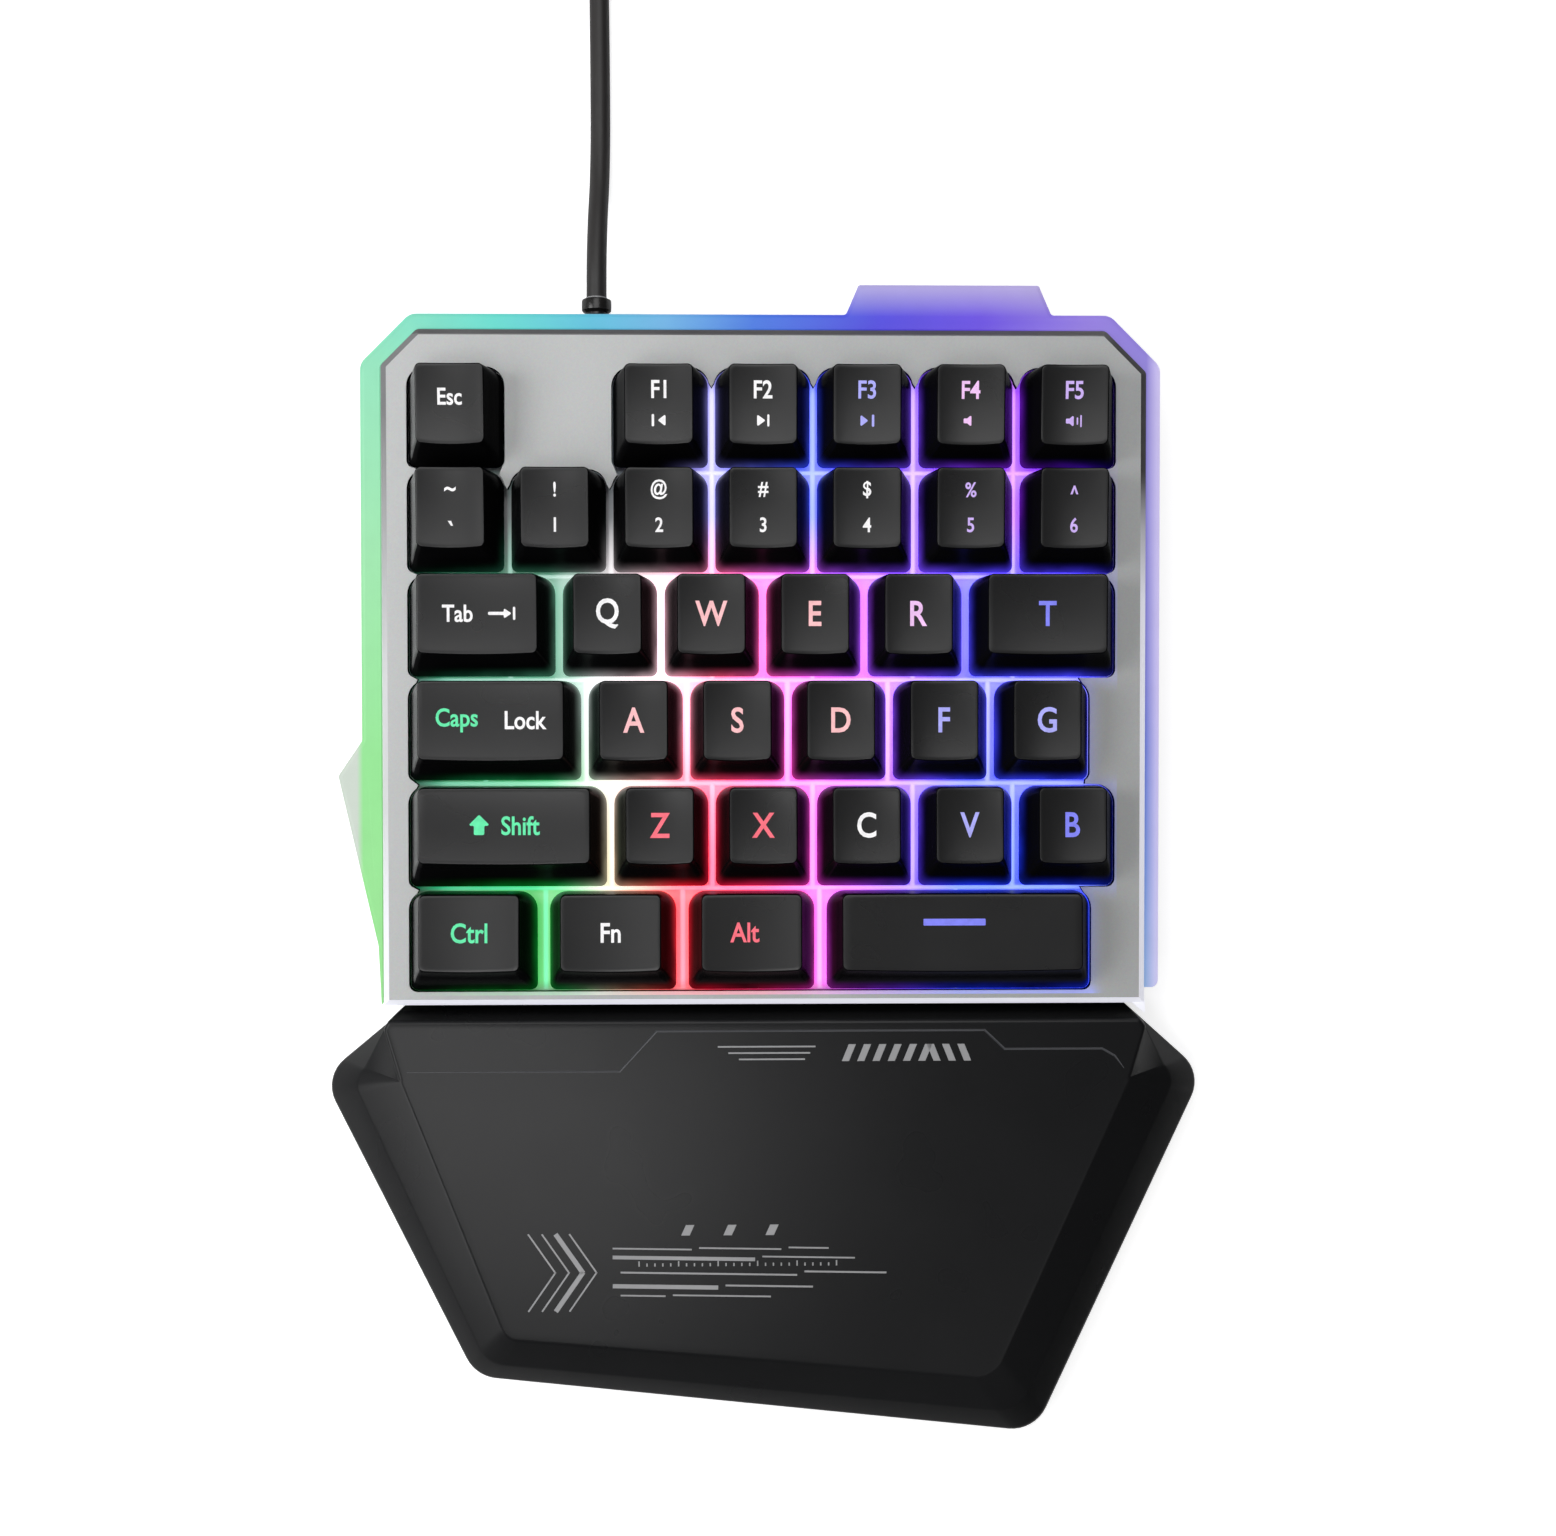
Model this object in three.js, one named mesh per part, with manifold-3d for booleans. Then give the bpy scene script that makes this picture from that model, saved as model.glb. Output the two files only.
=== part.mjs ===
// One-hand gaming keypad with a palm rest, a lit edge strip and a coiled USB lead.
// Millimetres, +Z up, +Y towards the rear edge where the lead leaves, +X to the right.
// The origin lies on the desk under the middle of the keypad, measured without its lead.
import * as THREE from 'three';
import { mergeVertices } from 'three/addons/utils/BufferGeometryUtils.js';
import Module from 'manifold-3d';

const wasm = await Module();
wasm.setup();

// Overall sizes
const overallLength = 218.9;
const faceHeight = 19.4; // key plate above the desk at its front edge
const faceSlope = THREE.MathUtils.degToRad(3); // the key plate rises towards the rear

// Clearances
const seatGap = 0.3; // between pieces that rest on each other
const slideGap = 0.4; // around a piece that moves
const closeGap = 0.1; // between pieces that are pressed together
const overrun = 1; // how far a cutting tool runs past what it cuts

// Key field
const columns = 7;
const rows = 6;
const pitchX = 19.05;
const pitchY = 19.7;
const keyGapX = 1.35;
const keyGapY = 1.75;
const modifierWidth = 23.7;
const modifierGap = 2.3;
const spaceInset = 5.075; // the space bar's right end, from the field's right side
const travel = 3.5; // how far a key goes down

// Keycaps
const capTopWidth = 12.6;
const capTopDepth = 14.3;
const capBaseRadius = 2.8;
const capTopRadius = 1.5;
const capWall = 1.4;
const capRoof = 1.8;
const capDish = 0.55;
const capSink = 1.2; // the skirt starts this far below the face
const plungerSide = 5.4;
const guidePostSide = 3;
const guidePostReach = 15; // side posts of the space bar, from its middle
const capRise = 8.7; // height of the top's middle above the face, in the rear row
const capShift = 1.7; // the top's shift to the rear, in the front row
// By row, from the rear: shares of the rise and of the shift, and the tilt in degrees
const rowShares = [
  { rise: 1, shift: 0.53, tilt: 5 },
  { rise: 0.99, shift: 0.7, tilt: 4 },
  { rise: 0.94, shift: 0.82, tilt: 2 },
  { rise: 0.91, shift: 0.88, tilt: 0 },
  { rise: 0.91, shift: 0.94, tilt: -1.5 },
  { rise: 0.91, shift: 1, tilt: -2.5 },
];

// Top cover
const marginLeft = 4.7;
const marginRight = 5.65;
const marginRear = 6.1;
const marginFront = 2.1;
const coverFace = 2;
const coverWall = 1.5;
const coverBevel = 1.4;
const coverDepth = 9;
const coverRadius = 1.5;
const coverCutLeft = 6.8;
const coverCutRight = 7.8;
const openingGap = 0.55;
const openingRadius = 3;

// Light strip
const stripSide = 3.7;
const stripSideRight = 3.3;
const stripRear = 3.3;
const stripCutLeft = 9.4;
const stripCutRight = 9.6;
const stripRadius = 3;
const stripTop = 3.5; // its top lies this far below the face
const stripDepth = 11;
const stripChamfer = 1;
const stripStopRight = 3.2; // how far the right arm ends from the front edge
const crestStart = 87.2; // the rear crest, from the cover's left edge
const crestWidth = 38.9;
const crestFlank = 2.4;
const crestDepth = 5.6;
const crestRadius = 0.8;
const finReach = 4.5; // the pointed fin on the left arm
const finRear = 48.6;
const finTip = 42.2;
const finFront = 11.5;
const finHeel = 1.3; // width of the left arm where the fin ends, and at its front end
const finTail = 0.6;
const finRadius = 1;

// Key deck
const deckTop = capSink + travel + 2 * slideGap;
const deckThickness = 1.5;
const deckRoom = 0.5; // between the deck and the cover's wall
const deckRim = 0.6;
const sleeveWall = 1.2;
const sleeveRise = 2.9;
const deckFoot = stripDepth + seatGap + slideGap;
const bossRadius = 3;
const pilotRadius = 1.45;

// Layers under the deck
const domeRadius = 5;
const domeTopRadius = 3;
const domeWall = 0.8;
const domeHeight = travel + closeGap;
const domeSheetThickness = 0.6;
const membraneThickness = 0.4;
const boardThickness = 1.2;
const layerHole = 3.5;
const lampSide = 3;
const lampWindow = 3.8;
const lampColumns = 5;

// Bottom shell
const padHeight = 1.5;
const floorThickness = 1.8;
const shellWall = 2;
const shellProud = 0.4; // past the cover, under the light strip
const shellLead = 0.35; // past the cover's front edge
const postRadius = 4;
const postHole = 1.6;
const postFloor = 2.6; // between a screw's head and the boss above
const supportSide = 5;
const palmRimHeight = 4.5;
const palmPostRise = 1.6; // the palm rest's screw posts, above the floor

// Screws
const screwHeadRadius = 2.6;
const screwHeadHeight = 1.6;
const screwShankRadius = 1.25;
const rearScrewLength = 10.2;
const palmScrewLength = 6;
const palmScrewInset = 19.85; // from the cover's sides
const palmScrewDrop = 24; // forward of the palm rest's rear edge
const headRecess = 3.1;
const headSink = 0.4;
const slotWidth = 0.8;
const slotDepth = 0.7;
const slotShare = 0.7;

// Palm rest
const palmWall = 2.2;
const palmSkirt = 2.1; // height of its lower edge above the desk
const palmBelt = 6.4; // height of its widest outline
const palmTuck = 1;
const palmRearHeight = 16.9;
const palmFrontHeight = 11.6;
const palmRearBevel = 2.3;
const shoulderOutShare = 0.42; // where the sloping border bends, between the panel and the widest outline
const shoulderUpShare = 0.72;
const palmFlank = 4.4; // length of the straight flank behind the left wing
const palmFlare = 1.9; // how far the left flank leans out
const wingOverhang = 13.75; // the wings' unrounded tips, past the cover's sides
const wingDrop = 14; // the same tips, forward of the rear edge
const frontLeft = 55.9; // the unrounded front corners, from the middle
const frontRight = 52.4;
const palmSkew = 11.5; // the right front corner lies this much further forward
const palmRound = 0.6; // how far rounding draws the right front corner in
const wingRadius = 6.8;
const cornerRadius = 7.3;
const flankRadius = 2;
const palmEdgeRadius = 1;
const panelRadius = 6;
const panelKinkLeft = 15.3; // the raised panel's corners, in from the outline's
const panelKinkRight = 14.6;
const panelLeft = 6.6;
const panelRight = 9.4;
const panelFrontLeft = 9;
const panelFrontRight = 12.4;

// Tilt feet
const footWidth = 17;
const footLength = 24;
const footThickness = 3.8;
const footInset = 15.85; // from the cover's sides to the middle of each foot
const footPivotInset = 6.8; // from the shell's rear wall
const pinRadius = 1.3;
const pinLength = 1.2;
const pinHole = 1.65;
const pocketDepth = 6;
const pocketRoof = 1.2;
const fingerNotch = 4;

// Rubber pads
const padLength = 16;
const padWidth = 8;
const padSink = 0.6;
const padRadius = 2.5;
const padRearInset = 17.85; // the rear pads, from the cover's sides
const padCornerInset = 14; // the front pads, from the palm rest's front corners
const padSetback = 15;
const padRearAhead = 8; // the rear pads, forward of the foot pockets

// Controller board
const controllerWidth = 36;
const controllerDepth = 20;
const controllerShift = -6;
const controllerStandoff = 1.4;
const chipSide = 8;
const chipHeight = 1.2;
const socketWidth = 7;
const socketDepth = 4;
const socketHeight = 3;

// Lead, coil and plug
const leadDiameter = 3.9;
const leadX = -32.5;
const leadExitHeight = 7.4;
const reliefRadius = 2.85;
const reliefNeck = 2.45;
const reliefFlange = 3.3;
const reliefFlangeDepth = 1.2;
const reliefReach = 10.5; // past the shell's rear wall
const reliefLip = 1.6;
const reliefWaistShare = 0.94;
const reliefTipShare = 0.9;
const coilMiddle = 21.05; // radius at the middle of the turns
const coilPitch = 4.45;
const coilSpiralTurns = 2.1875; // in each layer
const coilLayers = 4;
const coilSwing = 0.7; // how far a climbing half turn bows out
const coilCentreY = 207;
const deskGap = 0.1;
const plugWidth = 15.8;
const plugHeight = 8;
const plugLength = 24;
const plugNeckLength = 9;
const plugNeckRadius = 3.1;
const plugTipRadius = 2.5;
const plugRadius = 2;
const contactWidth = 12;
const contactHeight = 4.5;
const contactLength = 13.5;
const contactWall = 0.4;
const contactMouth = 9;
const tongueHeight = 1.8;
const tailRun = 44;

const round = 2 * Math.PI;
const arcSteps = 3;
const leastRadius = 0.2;
const weld = 1e-4; // vertices nearer than this are one

// Geometry helpers

// A closed geometry as a solid that can be cut and joined.
function solidOf(geometry, matrix = new THREE.Matrix4()) {
  const bare = new THREE.BufferGeometry().setAttribute(
    'position', (geometry.index ? geometry.toNonIndexed() : geometry).getAttribute('position').clone());
  bare.applyMatrix4(matrix);
  const merged = mergeVertices(bare, weld);
  return new wasm.Manifold(new wasm.Mesh({
    numProp: 3,
    vertProperties: new Float32Array(merged.attributes.position.array),
    triVerts: new Uint32Array(merged.index.array),
  }));
}

function geometryOf(solid) {
  const mesh = solid.getMesh();
  const geometry = new THREE.BufferGeometry();
  geometry.setAttribute('position', new THREE.BufferAttribute(new Float32Array(mesh.vertProperties), 3));
  geometry.setIndex(new THREE.BufferAttribute(new Uint32Array(mesh.triVerts), 1));
  geometry.computeVertexNormals();
  return geometry;
}

const moved = (x, y, z) => new THREE.Matrix4().makeTranslation(x, y, z);
const points2 = (list) => list.map(([x, y]) => new THREE.Vector2(x, y));

// A straight prism over an outline, from one height to another.
function prism(outline, low, high, matrix) {
  const shape = new THREE.Shape(points2(outline));
  const geometry = new THREE.ExtrudeGeometry(shape, { depth: high - low, bevelEnabled: false });
  geometry.translate(0, 0, low);
  return solidOf(geometry, matrix);
}

function box(x0, x1, y0, y1, z0, z1, matrix) {
  return prism([[x0, y0], [x1, y0], [x1, y1], [x0, y1]], z0, z1, matrix);
}

// The same about a middle point
function slab(x, y, width, depth, low, high, matrix) {
  return box(x - width / 2, x + width / 2, y - depth / 2, y + depth / 2, low, high, matrix);
}

const square = (x, y, side, low, high) => slab(x, y, side, side, low, high);

const polygon = (x, y, radius, sides) => Array.from({ length: sides }, (_, i) => {
  const angle = (i + 0.5) / sides * round;
  return [x + radius * Math.cos(angle), y + radius * Math.sin(angle)];
});

function peg(x, y, radius, low, high, matrix, sides = 12) {
  return prism(polygon(x, y, radius, sides), low, high, matrix);
}

// A solid skinned over rings of equal point counts, listed from the lowest to the highest.
function loft(rings, matrix) {
  const count = rings[0].length;
  const positions = rings.flat(2);
  const faces = [];
  for (let level = 0; level + 1 < rings.length; level++) {
    for (let i = 0; i < count; i++) {
      const next = (i + 1) % count;
      const [a, b] = [level * count + i, level * count + next];
      const [c, d] = [b + count, a + count];
      faces.push(a, b, c, a, c, d);
    }
  }
  const cap = (ring) => THREE.ShapeUtils.triangulateShape(points2(ring), []);
  for (const [a, b, c] of cap(rings[0])) faces.push(a, c, b);
  const last = (rings.length - 1) * count;
  for (const [a, b, c] of cap(rings.at(-1))) faces.push(last + a, last + b, last + c);
  const geometry = new THREE.BufferGeometry();
  geometry.setAttribute('position', new THREE.Float32BufferAttribute(positions, 3));
  geometry.setIndex(faces);
  return solidOf(geometry, matrix);
}

// Corners are [x, y, radius], anticlockwise. Each one becomes an arc of arcSteps pieces.
function rounded(corners, steps = arcSteps) {
  return corners.flatMap(([x, y, radius], i) => {
    if (!radius) return [[x, y]];
    const before = corners.at(i - 1);
    const after = corners[(i + 1) % corners.length];
    const corner = new THREE.Vector2(x, y);
    const back = new THREE.Vector2(before[0] - x, before[1] - y).normalize();
    const ahead = new THREE.Vector2(after[0] - x, after[1] - y).normalize();
    const half = Math.acos(THREE.MathUtils.clamp(back.dot(ahead), -1, 1)) / 2;
    const reach = radius / Math.tan(half);
    const start = corner.clone().addScaledVector(back, reach);
    const end = corner.clone().addScaledVector(ahead, reach);
    const middle = back.clone().add(ahead).normalize();
    const centre = corner.clone().addScaledVector(middle, radius / Math.sin(half));
    const from = start.sub(centre).angle();
    let turn = end.sub(centre).angle() - from;
    if (turn > Math.PI) turn -= round;
    if (turn < -Math.PI) turn += round;
    return Array.from({ length: steps + 1 }, (_, k) => {
      const angle = from + turn * k / steps;
      return [centre.x + radius * Math.cos(angle), centre.y + radius * Math.sin(angle)];
    });
  });
}

// The same corners with every edge moved inwards, or outwards if the distance is negative.
function inset(corners, distance) {
  return corners.map(([x, y, radius], i) => {
    const before = corners.at(i - 1);
    const after = corners[(i + 1) % corners.length];
    const u = new THREE.Vector2(x - before[0], y - before[1]).normalize();
    const v = new THREE.Vector2(after[0] - x, after[1] - y).normalize();
    const turn = u.cross(v);
    const shift = Math.tan(Math.atan2(turn, u.dot(v)) / 2) * distance;
    const grown = radius + (turn > 0 ? -distance : distance);
    const kept = radius && Math.max(leastRadius, grown);
    return [x - u.y * distance - u.x * shift, y + u.x * distance - u.y * shift, kept];
  });
}

const atHeight = (outline, height) => outline.map(([x, y]) => [x, y, height]);

// Materials
const finish = (color, roughness, metalness = 0, extra = {}) =>
  new THREE.MeshStandardMaterial({ color, roughness, metalness, ...extra });
const materials = {
  plate: finish('#a9adad', 0.38, 0.35),
  keycap: finish('#26272a', 0.35),
  strip: finish('#b9e6dc', 0.4, 0, { emissive: '#3f8f9f' }),
  deck: finish('#e9e9ee', 0.5, 0, { emissive: '#6a4f9a' }),
  dome: finish('#d8dcdc', 0.6),
  film: finish('#c9d3c4', 0.4),
  board: finish('#1f5a38', 0.5),
  shell: finish('#1b1b1d', 0.6),
  palm: finish('#26282a', 0.45),
  rubber: finish('#141415', 0.85),
  steel: finish('#b9bcc0', 0.3, 0.9),
  lead: finish('#2a2829', 0.55),
};

// The keypad's own frame: the origin is at the middle of the cover's front edge, on its face.
const coverWidth = columns * pitchX + marginLeft + marginRight;
const coverLength = rows * pitchY + marginRear + marginFront;
const stripRearEdge = coverLength + stripRear;
const rearMost = stripRearEdge + crestDepth;
const coverFront = overallLength / 2 - rearMost * Math.cos(faceSlope) - stripDepth * Math.sin(faceSlope);

const device = new THREE.Group();
const keypad = new THREE.Group();
keypad.position.set(0, coverFront, faceHeight);
keypad.rotation.x = faceSlope;
keypad.updateMatrix();
const keypadFrame = keypad.matrix;
device.add(keypad);

function add(group, name, solid, material) {
  const mesh = new THREE.Mesh(geometryOf(solid), material);
  mesh.name = name;
  group.add(mesh);
  return mesh;
}

// Key places
const coverLeft = -coverWidth / 2;
const coverRight = coverWidth / 2;
const fieldLeft = coverLeft + marginLeft;
const fieldRight = coverRight - marginRight;
const fieldFront = marginFront;
const fieldRear = coverLength - marginRear;

// Name, start and width of each key, both as shares of the pitch
const keyShares = [
  [['esc', 0, 1], ['f1', 2, 1], ['f2', 3, 1], ['f3', 4, 1], ['f4', 5, 1], ['f5', 6, 1]],
  [['grave', 0, 1], ['1', 1, 1], ['2', 2, 1], ['3', 3, 1], ['4', 4, 1], ['5', 5, 1], ['6', 6, 1]],
  [['tab', 0, 1.5], ['q', 1.5, 1], ['w', 2.5, 1], ['e', 3.5, 1], ['r', 4.5, 1], ['t', 5.5, 1.5]],
  [['caps', 0, 1.75], ['a', 1.75, 1], ['s', 2.75, 1], ['d', 3.75, 1], ['f', 4.75, 1], ['g', 5.75, 1]],
  [['shift', 0, 2], ['z', 2, 1], ['x', 3, 1], ['c', 4, 1], ['v', 5, 1], ['b', 6, 1]],
];

function rowSpan(row) {
  const rear = fieldRear - row * pitchY - keyGapY / 2;
  return { rear, front: rear - pitchY + keyGapY };
}

function placeKeys() {
  const keys = keyShares.flatMap((list, row) => list.map(([name, first, width]) => {
    const left = fieldLeft + first * pitchX + keyGapX / 2;
    return { name, row, left, right: left + width * pitchX - keyGapX };
  }));
  const row = rows - 1;
  let left = fieldLeft + keyGapX / 2;
  for (const name of ['ctrl', 'fn', 'alt']) {
    keys.push({ name, row, left, right: left + modifierWidth });
    left += modifierWidth + modifierGap;
  }
  keys.push({ name: 'space', row, left, right: fieldRight - spaceInset, posts: true });
  return keys.map((key) => ({ ...key, ...rowSpan(key.row), x: (key.left + key.right) / 2 }));
}

const keys = placeKeys();
const keyNamed = (name) => keys.find((key) => key.name === name);
const keyY = (key) => (key.front + key.rear) / 2;

// A rectangle with round corners whose front and rear halves mirror each other point for point.
function capRing(halfWidth, halfDepth, radius, split) {
  const half = [];
  for (let k = 0; k <= 2; k++) {
    const angle = k / 2 * Math.PI / 2;
    half.push([-halfWidth + radius * (1 - Math.cos(angle)), -halfDepth + radius * (1 - Math.sin(angle))]);
  }
  for (let k = 1; k < split; k++) {
    half.push([(2 * k / split - 1) * (halfWidth - radius), -halfDepth]);
  }
  for (let k = 0; k <= 2; k++) {
    const angle = Math.PI / 2 * (1 - k / 2);
    half.push([halfWidth - radius * (1 - Math.cos(angle)), -halfDepth + radius * (1 - Math.sin(angle))]);
  }
  return half.concat(half.map(([x, y]) => [x, -y]).reverse());
}

// A hollow keycap with a dished top, round corners and its plunger, about the key's middle.
function keycap(key) {
  const rise = capRise * rowShares[key.row].rise;
  const rearward = capShift * rowShares[key.row].shift;
  const halfWidth = (key.right - key.left) / 2;
  const halfDepth = (key.rear - key.front) / 2;
  const split = 4;
  const sideInset = (pitchX - keyGapX - capTopWidth) / 2;
  const topHalf = halfWidth - sideInset;
  const tilt = Math.tan(THREE.MathUtils.degToRad(rowShares[key.row].tilt));
  const base = capRing(halfWidth, halfDepth, capBaseRadius, split);
  const top = capRing(topHalf, capTopDepth / 2, capTopRadius, split);
  const dish = (x) => capDish * ((x / topHalf) ** 2 - 1);
  const topRing = top.map(([x, y]) => [x, y + rearward, rise + y * tilt + dish(x)]);
  const rings = [atHeight(base, -capSink), topRing];
  const count = base.length;
  const faces = [];
  for (let i = 0; i < count; i++) {
    const next = (i + 1) % count;
    faces.push(i, next, next + count, i, next + count, i + count);
  }
  for (let i = 0; i + 1 < count / 2; i++) {
    const [a, b, c, d] = [i, i + 1, count - 2 - i, count - 1 - i];
    faces.push(a, c, b, a, d, c);
    faces.push(a + count, b + count, c + count, a + count, c + count, d + count);
  }
  const geometry = new THREE.BufferGeometry();
  geometry.setAttribute('position', new THREE.Float32BufferAttribute(rings.flat(2), 3));
  geometry.setIndex(faces);
  const body = solidOf(geometry);
  const corner = (w, d, shift) => [[-w, shift - d], [w, shift - d], [w, shift + d], [-w, shift + d]];
  const roof = rise - capDish - capRoof;
  const share = (roof + capSink) / (rise + capSink);
  const hollow = loft([
    atHeight(corner(halfWidth - capWall, halfDepth - capWall, 0), -capSink - overrun),
    atHeight(corner(halfWidth - capWall, halfDepth - capWall, 0), -capSink),
    atHeight(corner(
      THREE.MathUtils.lerp(halfWidth, topHalf, share) - capWall,
      THREE.MathUtils.lerp(halfDepth, capTopDepth / 2, share) - capWall,
      rearward * share), roof),
  ]);
  const plungerFoot = -(deckFoot + seatGap - domeHeight) + seatGap;
  const side = plungerSide / 2;
  let cap = body.subtract(hollow).add(box(-side, side, -side, side, plungerFoot, roof + capWall / 2));
  if (key.posts) {
    for (const x of [-guidePostReach, guidePostReach]) {
      const half = guidePostSide / 2;
      cap = cap.add(box(x - half, x + half, -half, half, plungerFoot, roof + capWall / 2));
    }
  }
  return cap;
}

// The outline of the hole that the keys stand in, stepped round the rows.
function openingOutline() {
  const gap = openingGap;
  const left = keys[0].left - gap;
  const right = keyNamed('f5').right + gap;
  const r = openingRadius;
  const [top, second, third, fourth, fifth, sixth] = Array.from({ length: rows }, (_, row) => rowSpan(row));
  const insetRight = keyNamed('g').right + gap;
  const spaceRight = keyNamed('space').right + gap;
  return rounded([
    [left, sixth.front - gap, r],
    [spaceRight, sixth.front - gap, r],
    [spaceRight, fifth.front - gap, 0],
    [right, fifth.front - gap, r],
    [right, fifth.rear + gap, r],
    [insetRight, fifth.rear + gap, 0],
    [insetRight, third.front - gap, 0],
    [right, third.front - gap, r],
    [right, top.rear + gap, r],
    [keyNamed('f1').left - gap, top.rear + gap, r],
    [keyNamed('f1').left - gap, second.rear + gap, 0],
    [keyNamed('esc').right + gap, second.rear + gap, 0],
    [keyNamed('esc').right + gap, top.rear + gap, r],
    [left, top.rear + gap, r],
  ], 2);
}

const coverCorners = [
  [coverLeft, 0, 0],
  [coverRight, 0, 0],
  [coverRight, coverLength - coverCutRight, coverRadius],
  [coverRight - coverCutRight, coverLength, coverRadius],
  [coverLeft + coverCutLeft, coverLength, coverRadius],
  [coverLeft, coverLength - coverCutLeft, coverRadius],
];

// The grey key plate: a bevelled face with a skirt all round.
function topCover() {
  const outer = rounded(coverCorners);
  const face = rounded(inset(coverCorners, coverBevel).map(([x, y], i) => [x, y, coverCorners[i][2]]));
  const body = loft([atHeight(outer, -coverDepth), atHeight(outer, -coverBevel), atHeight(face, 0)]);
  const hollow = prism(rounded(inset(coverCorners, coverWall)), -coverDepth - overrun, -coverFace);
  return body.subtract(hollow).subtract(prism(openingOutline(), -coverDepth - overrun, overrun));
}

// The outer line of the light strip, with the rear crest and the left fin.
const stripLeft = coverLeft - stripSide;
const stripRight = coverRight + stripSideRight;
const crestLeft = coverLeft + crestStart;
const stripCorners = [
  [coverLeft - finTail, 0, 0],
  [stripRight, 0, 0],
  [stripRight, stripRearEdge - stripCutRight, stripRadius],
  [stripRight - stripCutRight, stripRearEdge, stripRadius],
  [crestLeft + crestWidth, stripRearEdge, crestRadius],
  [crestLeft + crestWidth - crestFlank, rearMost, crestRadius],
  [crestLeft + crestFlank, rearMost, crestRadius],
  [crestLeft, stripRearEdge, crestRadius],
  [stripLeft + stripCutLeft, stripRearEdge, stripRadius],
  [stripLeft, stripRearEdge - stripCutLeft, stripRadius],
  [stripLeft, finRear, finRadius],
  [stripLeft - finReach, finTip, finRadius],
  [coverLeft - finHeel, finFront, finRadius],
];

// The lit strip: a U round the cover's skirt with a flange under it.
function lightStrip() {
  const outer = rounded(stripCorners, 2);
  const upper = rounded(inset(stripCorners, stripChamfer).map(([x, y], i) => [x, y, stripCorners[i][2]]), 2);
  const body = loft([
    atHeight(outer, -stripDepth),
    atHeight(outer, -stripTop - stripChamfer),
    atHeight(upper, -stripTop),
  ]);
  const flangeTop = coverDepth + seatGap;
  const clear = inset(coverCorners, -seatGap);
  const skirtRoom = prism(rounded(clear), -flangeTop, overrun);
  const well = prism(rounded(inset(coverCorners, coverWall)), -stripDepth - overrun, overrun);
  const deep = -2 * stripDepth;
  const bayFront = box(coverLeft - seatGap, coverRight + seatGap, -overrun, 3 * coverWall, deep, overrun);
  const armEnd = box(coverRight, stripRight + overrun, -overrun, stripStopRight, deep, overrun);
  return body.subtract(skirtRoom).subtract(well).subtract(bayFront).subtract(armEnd);
}

// Screw bosses of the deck, between the second and third rows of keys
const bossPlaces = [fieldLeft + pitchX, fieldRight - pitchX].map((x) => [x, fieldRear - 2 * pitchY]);

const lampPlaces = [1, 3, 5].flatMap((row) => Array.from({ length: lampColumns }, (_, i) => [
  fieldLeft + pitchX * (0.5 + i * (columns - 1) / (lampColumns - 1)), fieldRear - row * pitchY]));

const deckCorners = inset(coverCorners, coverWall + deckRoom);

const plungerPlaces = keys.flatMap((key) => [
  [key.x, keyY(key), plungerSide],
  ...(key.posts ? [-guidePostReach, guidePostReach].map((x) => [key.x + x, keyY(key), guidePostSide]) : []),
]);

// The pale deck: a plate in a frame, with a square sleeve for each plunger and two screw bosses.
function keyDeck() {
  const frame = prism(rounded(deckCorners), -deckFoot, -coverFace - seatGap);
  const rim = (low, high) => prism(rounded(inset(deckCorners, deckRim)), low, high);
  const below = deckTop + deckThickness;
  let deck = frame.subtract(rim(-deckTop, overrun)).subtract(rim(-deckFoot - overrun, -below));
  const sleeves = plungerPlaces.map(([x, y, side]) =>
    square(x, y, side + 2 * (slideGap + sleeveWall), -below, -deckTop + sleeveRise));
  const bores = plungerPlaces.map(([x, y, side]) =>
    square(x, y, side + 2 * slideGap, -below - overrun, -deckTop + sleeveRise + overrun));
  const bosses = bossPlaces.map(([x, y]) =>
    peg(x, y, bossRadius, -deckFoot - domeSheetThickness - membraneThickness - boardThickness, -below));
  deck = wasm.Manifold.union([deck, ...sleeves, ...bosses]);
  const pilots = bossPlaces.map(([x, y]) => peg(x, y, pilotRadius, -2 * deckFoot, -below - slideGap));
  return wasm.Manifold.difference([deck, ...bores, ...pilots]);
}

// Heights of the layers under the deck, measured down from the face
const domeSheetTop = deckFoot + seatGap;
const membraneTop = domeSheetTop + domeSheetThickness + seatGap;
const boardTop = membraneTop + membraneThickness + seatGap;
const boardFoot = boardTop + boardThickness;

const layerSheet = (top, thickness) => prism(rounded(deckCorners), -top - thickness, -top);

const layerHoles = () => bossPlaces.map(([x, y]) => peg(x, y, layerHole, -2 * boardFoot, 0));
const lampWindows = () => lampPlaces.map(([x, y]) => square(x, y, lampWindow, -2 * boardFoot, 0));

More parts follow.
